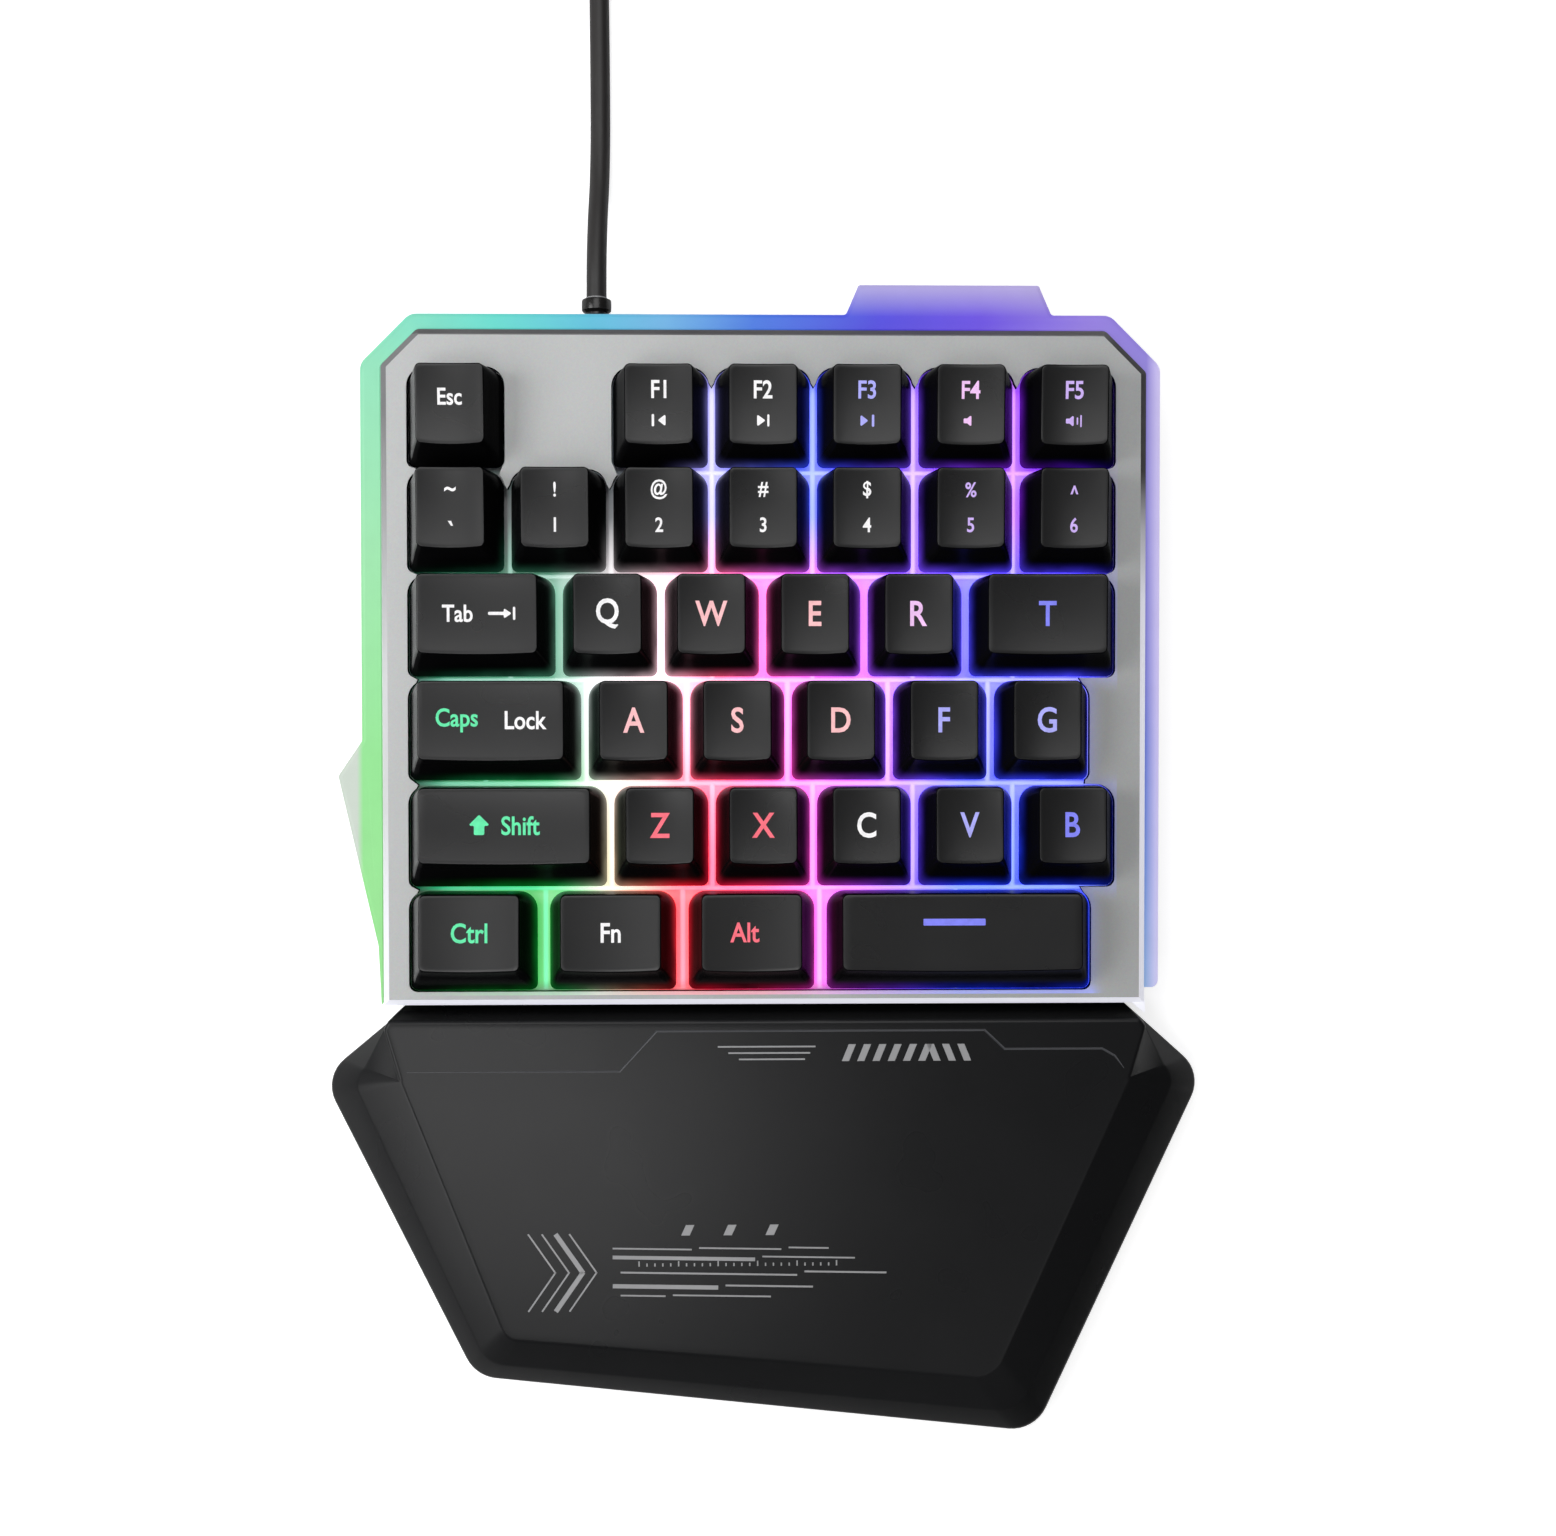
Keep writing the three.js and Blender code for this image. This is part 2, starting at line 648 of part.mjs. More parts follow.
// The silicone sheet with one collapsing dome under each plunger.
function domeSheet() {
  const sides = 8;
  const ring = (x, y, radius, height) => atHeight(polygon(x, y, radius, sides), height);
  const floor = -domeSheetTop - domeSheetThickness;
  const domes = keys.map((key) => {
    const [x, y] = [key.x, keyY(key)];
    return loft([
      ring(x, y, domeRadius, floor),
      ring(x, y, domeRadius, -domeSheetTop),
      ring(x, y, domeTopRadius, -domeSheetTop + domeHeight),
    ]);
  });
  const hollows = keys.map((key) => {
    const [x, y] = [key.x, keyY(key)];
    return loft([
      ring(x, y, domeRadius - domeWall, floor - overrun),
      ring(x, y, domeRadius - domeWall, -domeSheetTop),
      ring(x, y, domeTopRadius - domeWall, -domeSheetTop + domeHeight - domeWall),
    ]);
  });
  const sheet = wasm.Manifold.union([layerSheet(domeSheetTop, domeSheetThickness), ...domes]);
  return wasm.Manifold.difference([sheet, ...hollows, ...layerHoles(), ...lampWindows()]);
}

function membrane() {
  return wasm.Manifold.difference([
    layerSheet(membraneTop, membraneThickness), ...layerHoles(), ...lampWindows()]);
}

// The lamp board: its lamps reach up through the windows of the two layers above.
function lampBoard() {
  const lampTop = -domeSheetTop;
  const lamps = lampPlaces.map(([x, y]) => square(x, y, lampSide, -boardTop, lampTop));
  const board = wasm.Manifold.difference([layerSheet(boardTop, boardThickness), ...layerHoles()]);
  return wasm.Manifold.union([board, ...lamps]);
}

// Palm rest outlines
const palmRear = coverFront - slideGap;
const palmFront = -overallLength / 2;
const palmWing = palmRear - wingDrop;
const wingReach = coverRight + wingOverhang;
const palmNose = palmFront - palmRound;
const palmOutline = [
  [coverLeft, palmRear, palmEdgeRadius],
  [coverLeft - palmFlare, palmRear - palmFlank, flankRadius],
  [-wingReach, palmWing, wingRadius],
  [-frontLeft, palmNose + palmSkew, cornerRadius],
  [frontRight, palmNose, cornerRadius],
  [wingReach, palmWing, wingRadius],
  [coverRight + palmFlare, palmRear - palmFlank / 2, flankRadius],
  [coverRight - palmFlare, palmRear, palmEdgeRadius],
];
const panelRear = palmRear - palmRearBevel;
const panelOutline = [
  [coverLeft, panelRear, palmEdgeRadius],
  [coverLeft, panelRear - palmFlank, flankRadius],
  [-wingReach + panelKinkLeft, palmWing, panelRadius],
  [-frontLeft + panelLeft, palmNose + palmSkew + panelFrontLeft, panelRadius],
  [frontRight - panelRight, palmNose + panelFrontRight, panelRadius],
  [wingReach - panelKinkRight, palmWing, panelRadius],
  [coverRight, panelRear - palmFlank, flankRadius],
  [coverRight, panelRear, palmEdgeRadius],
];

// The crowned body of the palm rest, or the hollow inside it when shrunk by its wall.
function palmBody(shrink) {
  const steps = 4;
  const reach = palmRear - palmFront;
  const crown = (y) => THREE.MathUtils.lerp(palmRearHeight, palmFrontHeight, (palmRear - y) / reach) - shrink;
  const tucked = rounded(inset(palmOutline, palmTuck + shrink), steps);
  const widest = rounded(inset(palmOutline, shrink), steps);
  const panel = rounded(inset(panelOutline, shrink), steps);
  const shoulder = widest.map(([x, y], i) => {
    const [px, py] = panel[i];
    return [
      THREE.MathUtils.lerp(px, x, shoulderOutShare),
      THREE.MathUtils.lerp(py, y, shoulderOutShare),
      THREE.MathUtils.lerp(palmBelt, crown(py), shoulderUpShare),
    ];
  });
  const foot = shrink ? -overrun : palmSkirt;
  const rings = [
    atHeight(tucked, foot),
    ...(shrink ? [atHeight(tucked, palmSkirt)] : []),
    atHeight(widest, palmBelt),
    shoulder,
    panel.map(([x, y]) => [x, y, crown(y)]),
  ];
  return loft(rings);
}

const palmScrewPlaces = [coverLeft + palmScrewInset, coverRight - palmScrewInset].map((x) =>
  [x, palmRear - palmScrewDrop]);
const shellFloor = padHeight + floorThickness;
const palmSeat = shellFloor + palmPostRise;

// The strip of floor that ties the keypad's tray to the palm rest's.
function bridgeBlock(grow, low) {
  return box(
    coverLeft + wingRadius - grow, coverRight - wingRadius + grow,
    palmRear - 2 * wingRadius, coverFront + wingRadius, low, shellFloor + grow);
}

function palmCover() {
  const body = palmBody(0);
  const bosses = palmScrewPlaces.map(([x, y]) =>
    peg(x, y, bossRadius, palmSeat + seatGap, palmRearHeight).intersect(body));
  const pilots = palmScrewPlaces.map(([x, y]) =>
    peg(x, y, pilotRadius, palmSeat - overrun, palmSeat + palmScrewLength));
  const shell = wasm.Manifold.union([body.subtract(palmBody(palmWall)), ...bosses]);
  return wasm.Manifold.difference([shell, ...pilots, bridgeBlock(slideGap, 0)]);
}

// Tilt feet: their pockets in the shell, and the pivot line
const footReach = coverRight - footInset;
const shellRear = coverLength + shellProud;
const rearWallY = coverFront + shellRear * Math.cos(faceSlope) + stripDepth * Math.sin(faceSlope);
const pivotY = rearWallY - footPivotInset;
const pivotZ = padHeight + headSink + footThickness / 2;
const pocketSide = footWidth / 2 + slideGap;
const pocketFront = pivotY - footLength - slideGap;
const pocketRear = pivotY + footThickness / 2 + 2 * slideGap;
const acrossX = new THREE.Matrix4().makeRotationY(Math.PI / 2);

// A bar along X with a given section, used for pins and their holes.
function barAlongX(x0, x1, y, z, radius, sides = 10) {
  const matrix = moved(0, y, z).multiply(acrossX);
  return peg(0, 0, radius, x0, x1, matrix, sides);
}

function tiltFoot(side) {
  const x = side * footReach;
  const half = footWidth / 2;
  const thick = footThickness / 2;
  const tip = pivotY - footLength;
  const plate = box(x - half, x + half, tip, pivotY, pivotZ - thick, pivotZ + thick);
  const knuckle = barAlongX(x - half, x + half, pivotY, pivotZ, thick, 12);
  const pins = barAlongX(x - half - pinLength, x + half + pinLength, pivotY, pivotZ, pinRadius);
  const window = box(
    x - half + fingerNotch, x + half - fingerNotch, tip + fingerNotch, pivotY - fingerNotch,
    pivotZ - thick - overrun, pivotZ - thick / 2);
  return plate.add(knuckle).add(pins).subtract(window);
}

// The bottom shell: a wedge-shaped tray under the keypad and a shallow one under the palm rest.
function bottomShell() {
  const deep = -3 * faceHeight;
  const around = inset(coverCorners, -shellProud);
  const lineCorners = around.map(([x, y, radius], i) => [x, i < 2 ? -shellLead : y, radius]);
  const shellTop = -stripDepth - seatGap;
  const wide = 2 * wingReach;
  const above = (height) => box(-wide, wide, -wide, wide, height, 2 * faceHeight);
  const keypadBlock = prism(rounded(lineCorners), deep, shellTop, keypadFrame).intersect(above(padHeight));
  const keypadWell = prism(rounded(inset(lineCorners, shellWall)), deep, overrun, keypadFrame)
    .intersect(above(shellFloor));
  const trayCorners = inset(palmOutline, palmTuck + palmWall + slideGap);
  const tray = prism(rounded(trayCorners), padHeight, palmRimHeight);
  const trayWell = prism(rounded(inset(trayCorners, shellWall)), shellFloor, 2 * palmRimHeight);
  const bridge = bridgeBlock(0, padHeight);
  let shell = wasm.Manifold.union([keypadBlock.subtract(keypadWell), tray.subtract(trayWell), bridge]);

  const fieldMiddle = (fieldLeft + fieldRight) / 2;
  const supports = [-2, 0, 2].map((column) => [fieldMiddle + column * pitchX, fieldFront + pitchY]);
  supports.push([fieldMiddle, fieldRear - 2 * pitchY]);
  const boardSeat = -boardFoot - seatGap;
  const columnsUp = [
    ...supports.map(([x, y]) => slab(x, y, supportSide, supportSide, deep, boardSeat, keypadFrame)),
    ...bossPlaces.map(([x, y]) => peg(x, y, postRadius, deep, boardSeat, keypadFrame)),
  ].map((post) => post.intersect(above(padHeight)));
  const palmPosts = palmScrewPlaces.map(([x, y]) => peg(x, y, postRadius, padHeight, palmSeat));
  const postInset = controllerWidth / 2 - supportSide;
  const controllerPosts = [controllerShift - postInset, controllerShift + postInset].map((x) =>
    square(x, controllerY, supportSide, padHeight, shellFloor + controllerStandoff));
  const pocketReach = pocketSide + pinLength + shellWall;
  const pocketShells = [-footReach, footReach].map((x) => box(
    x - pocketReach, x + pocketReach, pocketFront - shellWall, pocketRear + shellWall,
    padHeight, padHeight + pocketDepth + pocketRoof));
  shell = wasm.Manifold.union([
    shell, ...columnsUp, ...palmPosts, ...controllerPosts,
    ...pocketShells.map((p) => p.intersect(keypadBlock))]);

  const pockets = [-footReach, footReach].map((x) => box(
    x - pocketSide, x + pocketSide, pocketFront, pocketRear, 0, padHeight + pocketDepth));
  const pinReach = pocketSide + pinLength + slideGap;
  const pinHoles = [-footReach, footReach].map((x) =>
    barAlongX(x - pinReach, x + pinReach, pivotY, pivotZ, pinHole));
  const rearSeats = bossPlaces.flatMap(([x, y]) => [
    peg(x, y, postHole, deep, overrun, keypadFrame),
    peg(x, y, headRecess, deep, rearScrewSeat - closeGap, keypadFrame)]);
  const palmSeats = palmScrewPlaces.flatMap(([x, y]) => [
    peg(x, y, postHole, 0, 2 * palmSeat),
    peg(x, y, headRecess, 0, palmScrewSeat)]);
  const padSeats = padPlaces.map(([x, y]) => prism(padOutline(x, y, closeGap), 0, padHeight + padSink));
  const leadHole = peg(0, 0, reliefNeck + seatGap, -3 * shellWall, 3 * shellWall, leadFrame);
  return wasm.Manifold.difference([
    shell, ...pockets, ...pinHoles, ...rearSeats, ...palmSeats, ...padSeats, leadHole]);
}

// Screws: heights of the seats under their heads
const rearScrewSeat = -boardFoot - seatGap - postFloor;
const palmScrewSeat = padHeight + headSink + screwHeadHeight;

// A pan-headed screw that points up, its head's upper face at height 0.
function screw(length) {
  const head = peg(0, 0, screwHeadRadius, -screwHeadHeight, 0);
  const shank = peg(0, 0, screwShankRadius, -screwHeadHeight / 2, length);
  const slotLength = 2 * slotShare * screwHeadRadius;
  const [low, high] = [-screwHeadHeight - overrun, -screwHeadHeight + slotDepth];
  const slots = [
    slab(0, 0, slotLength, slotWidth, low, high),
    slab(0, 0, slotWidth, slotLength, low, high),
  ];
  return wasm.Manifold.difference([head.add(shank), ...slots]);
}

// Rubber pads
const padPlaces = [
  [coverLeft + padRearInset, pocketFront - padRearAhead],
  [coverRight - padRearInset, pocketFront - padRearAhead],
  [padCornerInset - frontLeft, palmFront + palmSkew + padSetback],
  [frontRight - padCornerInset, palmFront + padSetback],
];
const padNames = ['rear_left', 'rear_right', 'front_left', 'front_right'];

function padOutline(x, y, grow) {
  const [w, d] = [padLength / 2 + grow, padWidth / 2 + grow];
  const r = padRadius + grow;
  return rounded([[x - w, y - d, r], [x + w, y - d, r], [x + w, y + d, r], [x - w, y + d, r]], 2);
}

// Controller board, flat on its posts behind the middle of the field
const controllerY = pocketFront + controllerDepth / 2;

function controllerBoard() {
  const low = shellFloor + controllerStandoff + seatGap;
  const top = low + boardThickness;
  const socketX = controllerWidth / 2 - socketWidth;
  const socketY = controllerY + controllerDepth / 2 - socketDepth;
  return wasm.Manifold.union([
    slab(controllerShift, controllerY, controllerWidth, controllerDepth, low, top),
    slab(controllerShift, controllerY, chipSide, chipSide, top, top + chipHeight),
    slab(controllerShift - socketX, socketY, socketWidth, socketDepth, top, top + socketHeight),
    slab(controllerShift + socketX, socketY, socketWidth, socketDepth, top, top + chipHeight),
  ]);
}

// Strain relief: turned about the lead, its flange inside the rear wall
const leadFrame = moved(leadX, rearWallY, leadExitHeight)
  .multiply(new THREE.Matrix4().makeRotationX(-Math.PI / 2));

function strainRelief() {
  const inner = -shellWall - seatGap;
  const profile = [
    [0, inner - reliefFlangeDepth],
    [reliefFlange, inner - reliefFlangeDepth],
    [reliefFlange, inner],
    [reliefNeck, inner],
    [reliefNeck, seatGap],
    [reliefRadius, 2 * seatGap],
    [reliefRadius * reliefWaistShare, reliefReach - 2 * reliefLip],
    [reliefRadius, reliefReach - reliefLip],
    [reliefRadius, reliefReach - reliefLip / 4],
    [reliefRadius * reliefTipShare, reliefReach],
    [0, reliefReach],
  ];
  const lathe = new THREE.LatheGeometry(points2(profile), 12);
  return solidOf(lathe, leadFrame.clone().multiply(new THREE.Matrix4().makeRotationX(Math.PI / 2)));
}

// Lead: its route is a list of points from the strain relief along the desk to the coil
const leadZ = leadDiameter / 2 + deskGap;
const leadStartY = rearWallY + reliefReach + seatGap;
const coilOuter = coilMiddle + coilSpiralTurns * coilPitch / 2;
const coilInner = coilMiddle - coilSpiralTurns * coilPitch / 2;
const leadRoute = [
  [leadX, leadStartY, leadExitHeight],
  [leadX, leadStartY + 6, leadExitHeight - 0.2],
  [leadX + 0.1, 126, 5.7],
  [leadX + 0.3, 134, 3.2],
  [leadX + 0.4, 142, leadZ + 0.1],
  [leadX + 0.4, 150, leadZ],
  [leadX + 0.3, 162, leadZ],
  [leadX + 0.1, 178, leadZ],
  [leadX, 191, leadZ],
  [leadX, coilCentreY - leadDiameter - seatGap, leadZ],
];

function tube(route, sides, steps) {
  const curve = new THREE.CatmullRomCurve3(route.map(([x, y, z]) => new THREE.Vector3(x, y, z)));
  const section = new THREE.Shape(points2(polygon(0, 0, leadDiameter / 2, sides)));
  return solidOf(new THREE.ExtrudeGeometry(section, { steps, extrudePath: curve, bevelEnabled: false }));
}

// The coil's centre line: four layers of spiral joined by climbing half turns, wound clockwise.
const coilTurns = coilLayers * coilSpiralTurns + (coilLayers - 1) / 2;
const coilX = leadX + coilOuter;

function coilPoint(turn) {
  const stage = coilSpiralTurns + 0.5;
  const layer = Math.min(coilLayers - 1, Math.floor(turn / stage));
  const within = turn - layer * stage;
  const inward = layer % 2 === 0;
  let radius = inward ? coilOuter - within * coilPitch : coilInner + within * coilPitch;
  let level = layer;
  if (within > coilSpiralTurns) {
    const climb = (within - coilSpiralTurns) / 0.5;
    const bow = coilSwing * Math.sin(Math.PI * climb);
    radius = inward ? coilInner - bow : coilOuter + bow;
    level += climb;
  }
  const angle = Math.PI - turn * round;
  return new THREE.Vector3(
    coilX + radius * Math.cos(angle), coilCentreY + radius * Math.sin(angle), leadZ + level * coilPitch);
}

const coilSteps = 24;
function coilLine() {
  const count = Math.round(coilTurns * coilSteps);
  const line = Array.from({ length: count + 1 }, (_, i) => coilPoint(i / count * coilTurns));
  const start = line[0].clone();
  start.y -= leadDiameter;
  const end = line.at(-1).clone();
  end.x += leadDiameter;
  return [start, ...line, end];
}

// One unbroken tube through a line of points, with its rings kept upright.
function windingTube(line, radius, sides) {
  const up = new THREE.Vector3(0, 0, 1);
  const positions = [];
  line.forEach((point, i) => {
    const ahead = line[Math.min(i + 1, line.length - 1)].clone().sub(line[Math.max(i - 1, 0)]).normalize();
    const across = ahead.clone().cross(up).normalize();
    const rise = across.clone().cross(ahead);
    for (let k = 0; k < sides; k++) {
      const angle = (k + 0.5) / sides * round;
      const p = point.clone()
        .addScaledVector(across, radius * Math.cos(angle)).addScaledVector(rise, radius * Math.sin(angle));
      positions.push(p.x, p.y, p.z);
    }
  });
  const faces = [];
  for (let i = 0; i + 1 < line.length; i++) {
    for (let k = 0; k < sides; k++) {
      const next = (k + 1) % sides;
      const [a, b, c, d] = [i * sides + k, i * sides + next, (i + 1) * sides + next, (i + 1) * sides + k];
      faces.push(a, c, b, a, d, c);
    }
  }
  const last = (line.length - 1) * sides;
  for (let k = 1; k + 1 < sides; k++) {
    faces.push(0, k, k + 1);
    faces.push(last, last + k + 1, last + k);
  }
  const geometry = new THREE.BufferGeometry();
  geometry.setAttribute('position', new THREE.Float32BufferAttribute(positions, 3));
  geometry.setIndex(faces);
  return solidOf(geometry);
}

// The least gap between two stretches of the coil that lie a third of a turn or more apart.
function leastCoilGap(line) {
  let least = Infinity;
  const apart = Math.round(coilSteps / 3);
  for (let i = 0; i < line.length; i++) {
    for (let j = i + apart; j < line.length; j++) {
      least = Math.min(least, line[i].distanceTo(line[j]) - leadDiameter);
    }
  }
  return least;
}

const coil = coilLine();
const coilEnd = coil.at(-1);

// The tail comes down from the coil's top layer to the plug on the desk.
const plugZ = plugHeight / 2 + deskGap;
const tailStart = coilEnd.x + seatGap;
// Shares of the run along the desk, and of the drop from the coil's top layer
const tailShares = [
  [0, 1], [0.08, 0.995], [0.25, 0.9], [0.45, 0.55], [0.64, 0.2], [0.82, 0.03], [0.93, 0], [1, 0],
];
const tailRoute = tailShares.map(([along, height]) => [
  tailStart + along * tailRun, coilEnd.y, THREE.MathUtils.lerp(plugZ, coilEnd.z, height)]);

const plugStart = tailStart + tailRun + seatGap;
const plugShoulder = plugStart + plugNeckLength + plugLength;
const plugFrame = (x) => moved(x, coilEnd.y, plugZ)
  .multiply(acrossX)
  .multiply(new THREE.Matrix4().makeRotationZ(Math.PI / 2));

function roundedBar(width, height, radius, low, high, matrix) {
  const [w, h] = [width / 2, height / 2];
  const corners = [[-w, -h, radius], [w, -h, radius], [w, h, radius], [-w, h, radius]];
  return prism(rounded(corners, 2), low, high, matrix);
}

function plugBody() {
  const neck = loft([
    atHeight(polygon(0, 0, plugTipRadius, 12), 0),
    atHeight(polygon(0, 0, plugNeckRadius, 12), plugNeckLength + overrun),
  ], plugFrame(plugStart));
  const grip = roundedBar(
    plugWidth, plugHeight, plugRadius, plugNeckLength, plugNeckLength + plugLength, plugFrame(plugStart));
  return neck.add(grip);
}

// The plug's metal contact shell, hollow at its mouth, with the contact tongue inside.
function plugShell() {
  const frame = plugFrame(plugShoulder + closeGap);
  const bar = roundedBar(contactWidth, contactHeight, 0, 0, contactLength, frame);
  const inner = contactHeight - 2 * contactWall;
  const tongue = -inner / 2 + tongueHeight;
  const w = contactWidth / 2 - contactWall;
  const mouth = box(-w, w, tongue, inner / 2, contactLength - contactMouth, contactLength + overrun, frame);
  return bar.subtract(mouth);
}

// Assembly
add(keypad, 'top_cover', topCover(), materials.plate);
add(keypad, 'light_strip', lightStrip(), materials.strip);
add(keypad, 'key_deck', keyDeck(), materials.deck);
add(keypad, 'dome_sheet', domeSheet(), materials.dome);
add(keypad, 'membrane', membrane(), materials.film);
add(keypad, 'lamp_board', lampBoard(), materials.board);
for (const key of keys) {
  const mesh = add(keypad, `keycap_${key.name}`, keycap(key), materials.keycap);
  mesh.position.set(key.x, keyY(key), 0);
}
bossPlaces.forEach(([x, y], i) => {
  const mesh = add(keypad, `screw_rear_${['left', 'right'][i]}`, screw(rearScrewLength), materials.steel);
  mesh.position.set(x, y, rearScrewSeat - seatGap);
});
add(device, 'bottom_shell', bottomShell(), materials.shell);
add(device, 'palm_rest', palmCover(), materials.palm);
palmScrewPlaces.forEach(([x, y], i) => {
  const mesh = add(device, `screw_palm_${['left', 'right'][i]}`, screw(palmScrewLength), materials.steel);
  mesh.position.set(x, y, palmScrewSeat - closeGap);
});
add(device, 'controller_board', controllerBoard(), materials.board);
[['left', -1], ['right', 1]].forEach(([name, side]) =>
  add(device, `tilt_foot_${name}`, tiltFoot(side), materials.shell));
padPlaces.forEach(([x, y], i) =>
  add(device, `rubber_pad_${padNames[i]}`, prism(padOutline(x, y, 0), 0, padHeight + padSink - closeGap),
    materials.rubber));
add(device, 'strain_relief', strainRelief(), materials.rubber);
add(device, 'cord_lead', tube(leadRoute, 8, 18), materials.lead);
add(device, 'cord_coil', windingTube(coil, leadDiameter / 2, 6), materials.lead);
add(device, 'cord_tail', tube(tailRoute, 8, 14), materials.lead);
add(device, 'usb_plug_body', plugBody(), materials.lead);
add(device, 'usb_plug_shell', plugShell(), materials.steel);

console.log(`least gap between the coil's turns: ${leastCoilGap(coil).toFixed(2)} mm`);

export default device;
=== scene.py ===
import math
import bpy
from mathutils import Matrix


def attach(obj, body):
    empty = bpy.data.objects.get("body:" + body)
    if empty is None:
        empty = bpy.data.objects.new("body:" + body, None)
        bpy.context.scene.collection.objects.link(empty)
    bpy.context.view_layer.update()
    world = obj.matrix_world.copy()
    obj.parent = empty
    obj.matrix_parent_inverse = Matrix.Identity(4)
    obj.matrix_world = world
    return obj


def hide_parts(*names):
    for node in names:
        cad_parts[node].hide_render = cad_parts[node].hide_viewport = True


bl_info = {
    "name": "Lit Gaming Keypad",
    "version": (1, 0, 0),
    "blender": (4, 5, 0),
    "location": "3D View > Sidebar > Keypad",
    "description": "Dresses a one-hand gaming keypad with keycaps, a lit edge, a palm rest and a coiled lead",
    "category": "Add Mesh",
}

import bmesh
import bpy
from bpy.props import FloatProperty, FloatVectorProperty, PointerProperty
from mathutils import Matrix, Vector
from mathutils.geometry import delaunay_2d_cdt, tessellate_polygon

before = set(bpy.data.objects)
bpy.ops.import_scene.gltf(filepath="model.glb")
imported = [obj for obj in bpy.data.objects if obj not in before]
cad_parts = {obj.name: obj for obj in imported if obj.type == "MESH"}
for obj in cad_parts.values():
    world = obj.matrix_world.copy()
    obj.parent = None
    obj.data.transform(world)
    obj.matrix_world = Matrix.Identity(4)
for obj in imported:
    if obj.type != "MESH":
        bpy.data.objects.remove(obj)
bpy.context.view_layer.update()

MM = 0.001
SLOPE = math.radians(3)

# Keys by row from the rear: name, start and width as shares of the pitch
KEY_ROWS = (
    (("esc", 0, 1), ("f1", 2, 1), ("f2", 3, 1), ("f3", 4, 1), ("f4", 5, 1), ("f5", 6, 1)),
    (("grave", 0, 1), ("1", 1, 1), ("2", 2, 1), ("3", 3, 1), ("4", 4, 1), ("5", 5, 1), ("6", 6, 1)),
    (("tab", 0, 1.5), ("q", 1.5, 1), ("w", 2.5, 1), ("e", 3.5, 1), ("r", 4.5, 1), ("t", 5.5, 1.5)),
    (("caps", 0, 1.75), ("a", 1.75, 1), ("s", 2.75, 1), ("d", 3.75, 1), ("f", 4.75, 1), ("g", 5.75, 1)),
    (("shift", 0, 2), ("z", 2, 1), ("x", 3, 1), ("c", 4, 1), ("v", 5, 1), ("b", 6, 1)),
)
# By row: share of the tallest rise, tilt in degrees, and where the foot and the top start and end, in shares of
# the pitch from the row's middle
ROW_FORMS = (
    (1, 5, (-0.487, 0.447), (-0.31, 0.42)), (0.99, 4, (-0.478, 0.482), (-0.27, 0.467)),
    (0.94, 2, (-0.467, 0.485), (-0.257, 0.483)), (0.91, 0, (-0.452, 0.492), (-0.248, 0.488)),
    (0.91, -1.5, (-0.465, 0.492), (-0.216, 0.489)), (0.91, -2.5, (-0.452, 0.492), (-0.225, 0.489)))


def length(name, description, millimetres):
    return FloatProperty(
        name=name, description=description, default=millimetres * MM, min=0.0, unit="LENGTH", precision=5)


def colour(name, description, red, green, blue):
    return FloatVectorProperty(
        name=name, description=description, default=(red, green, blue), min=0.0, max=1.0, subtype="COLOR")


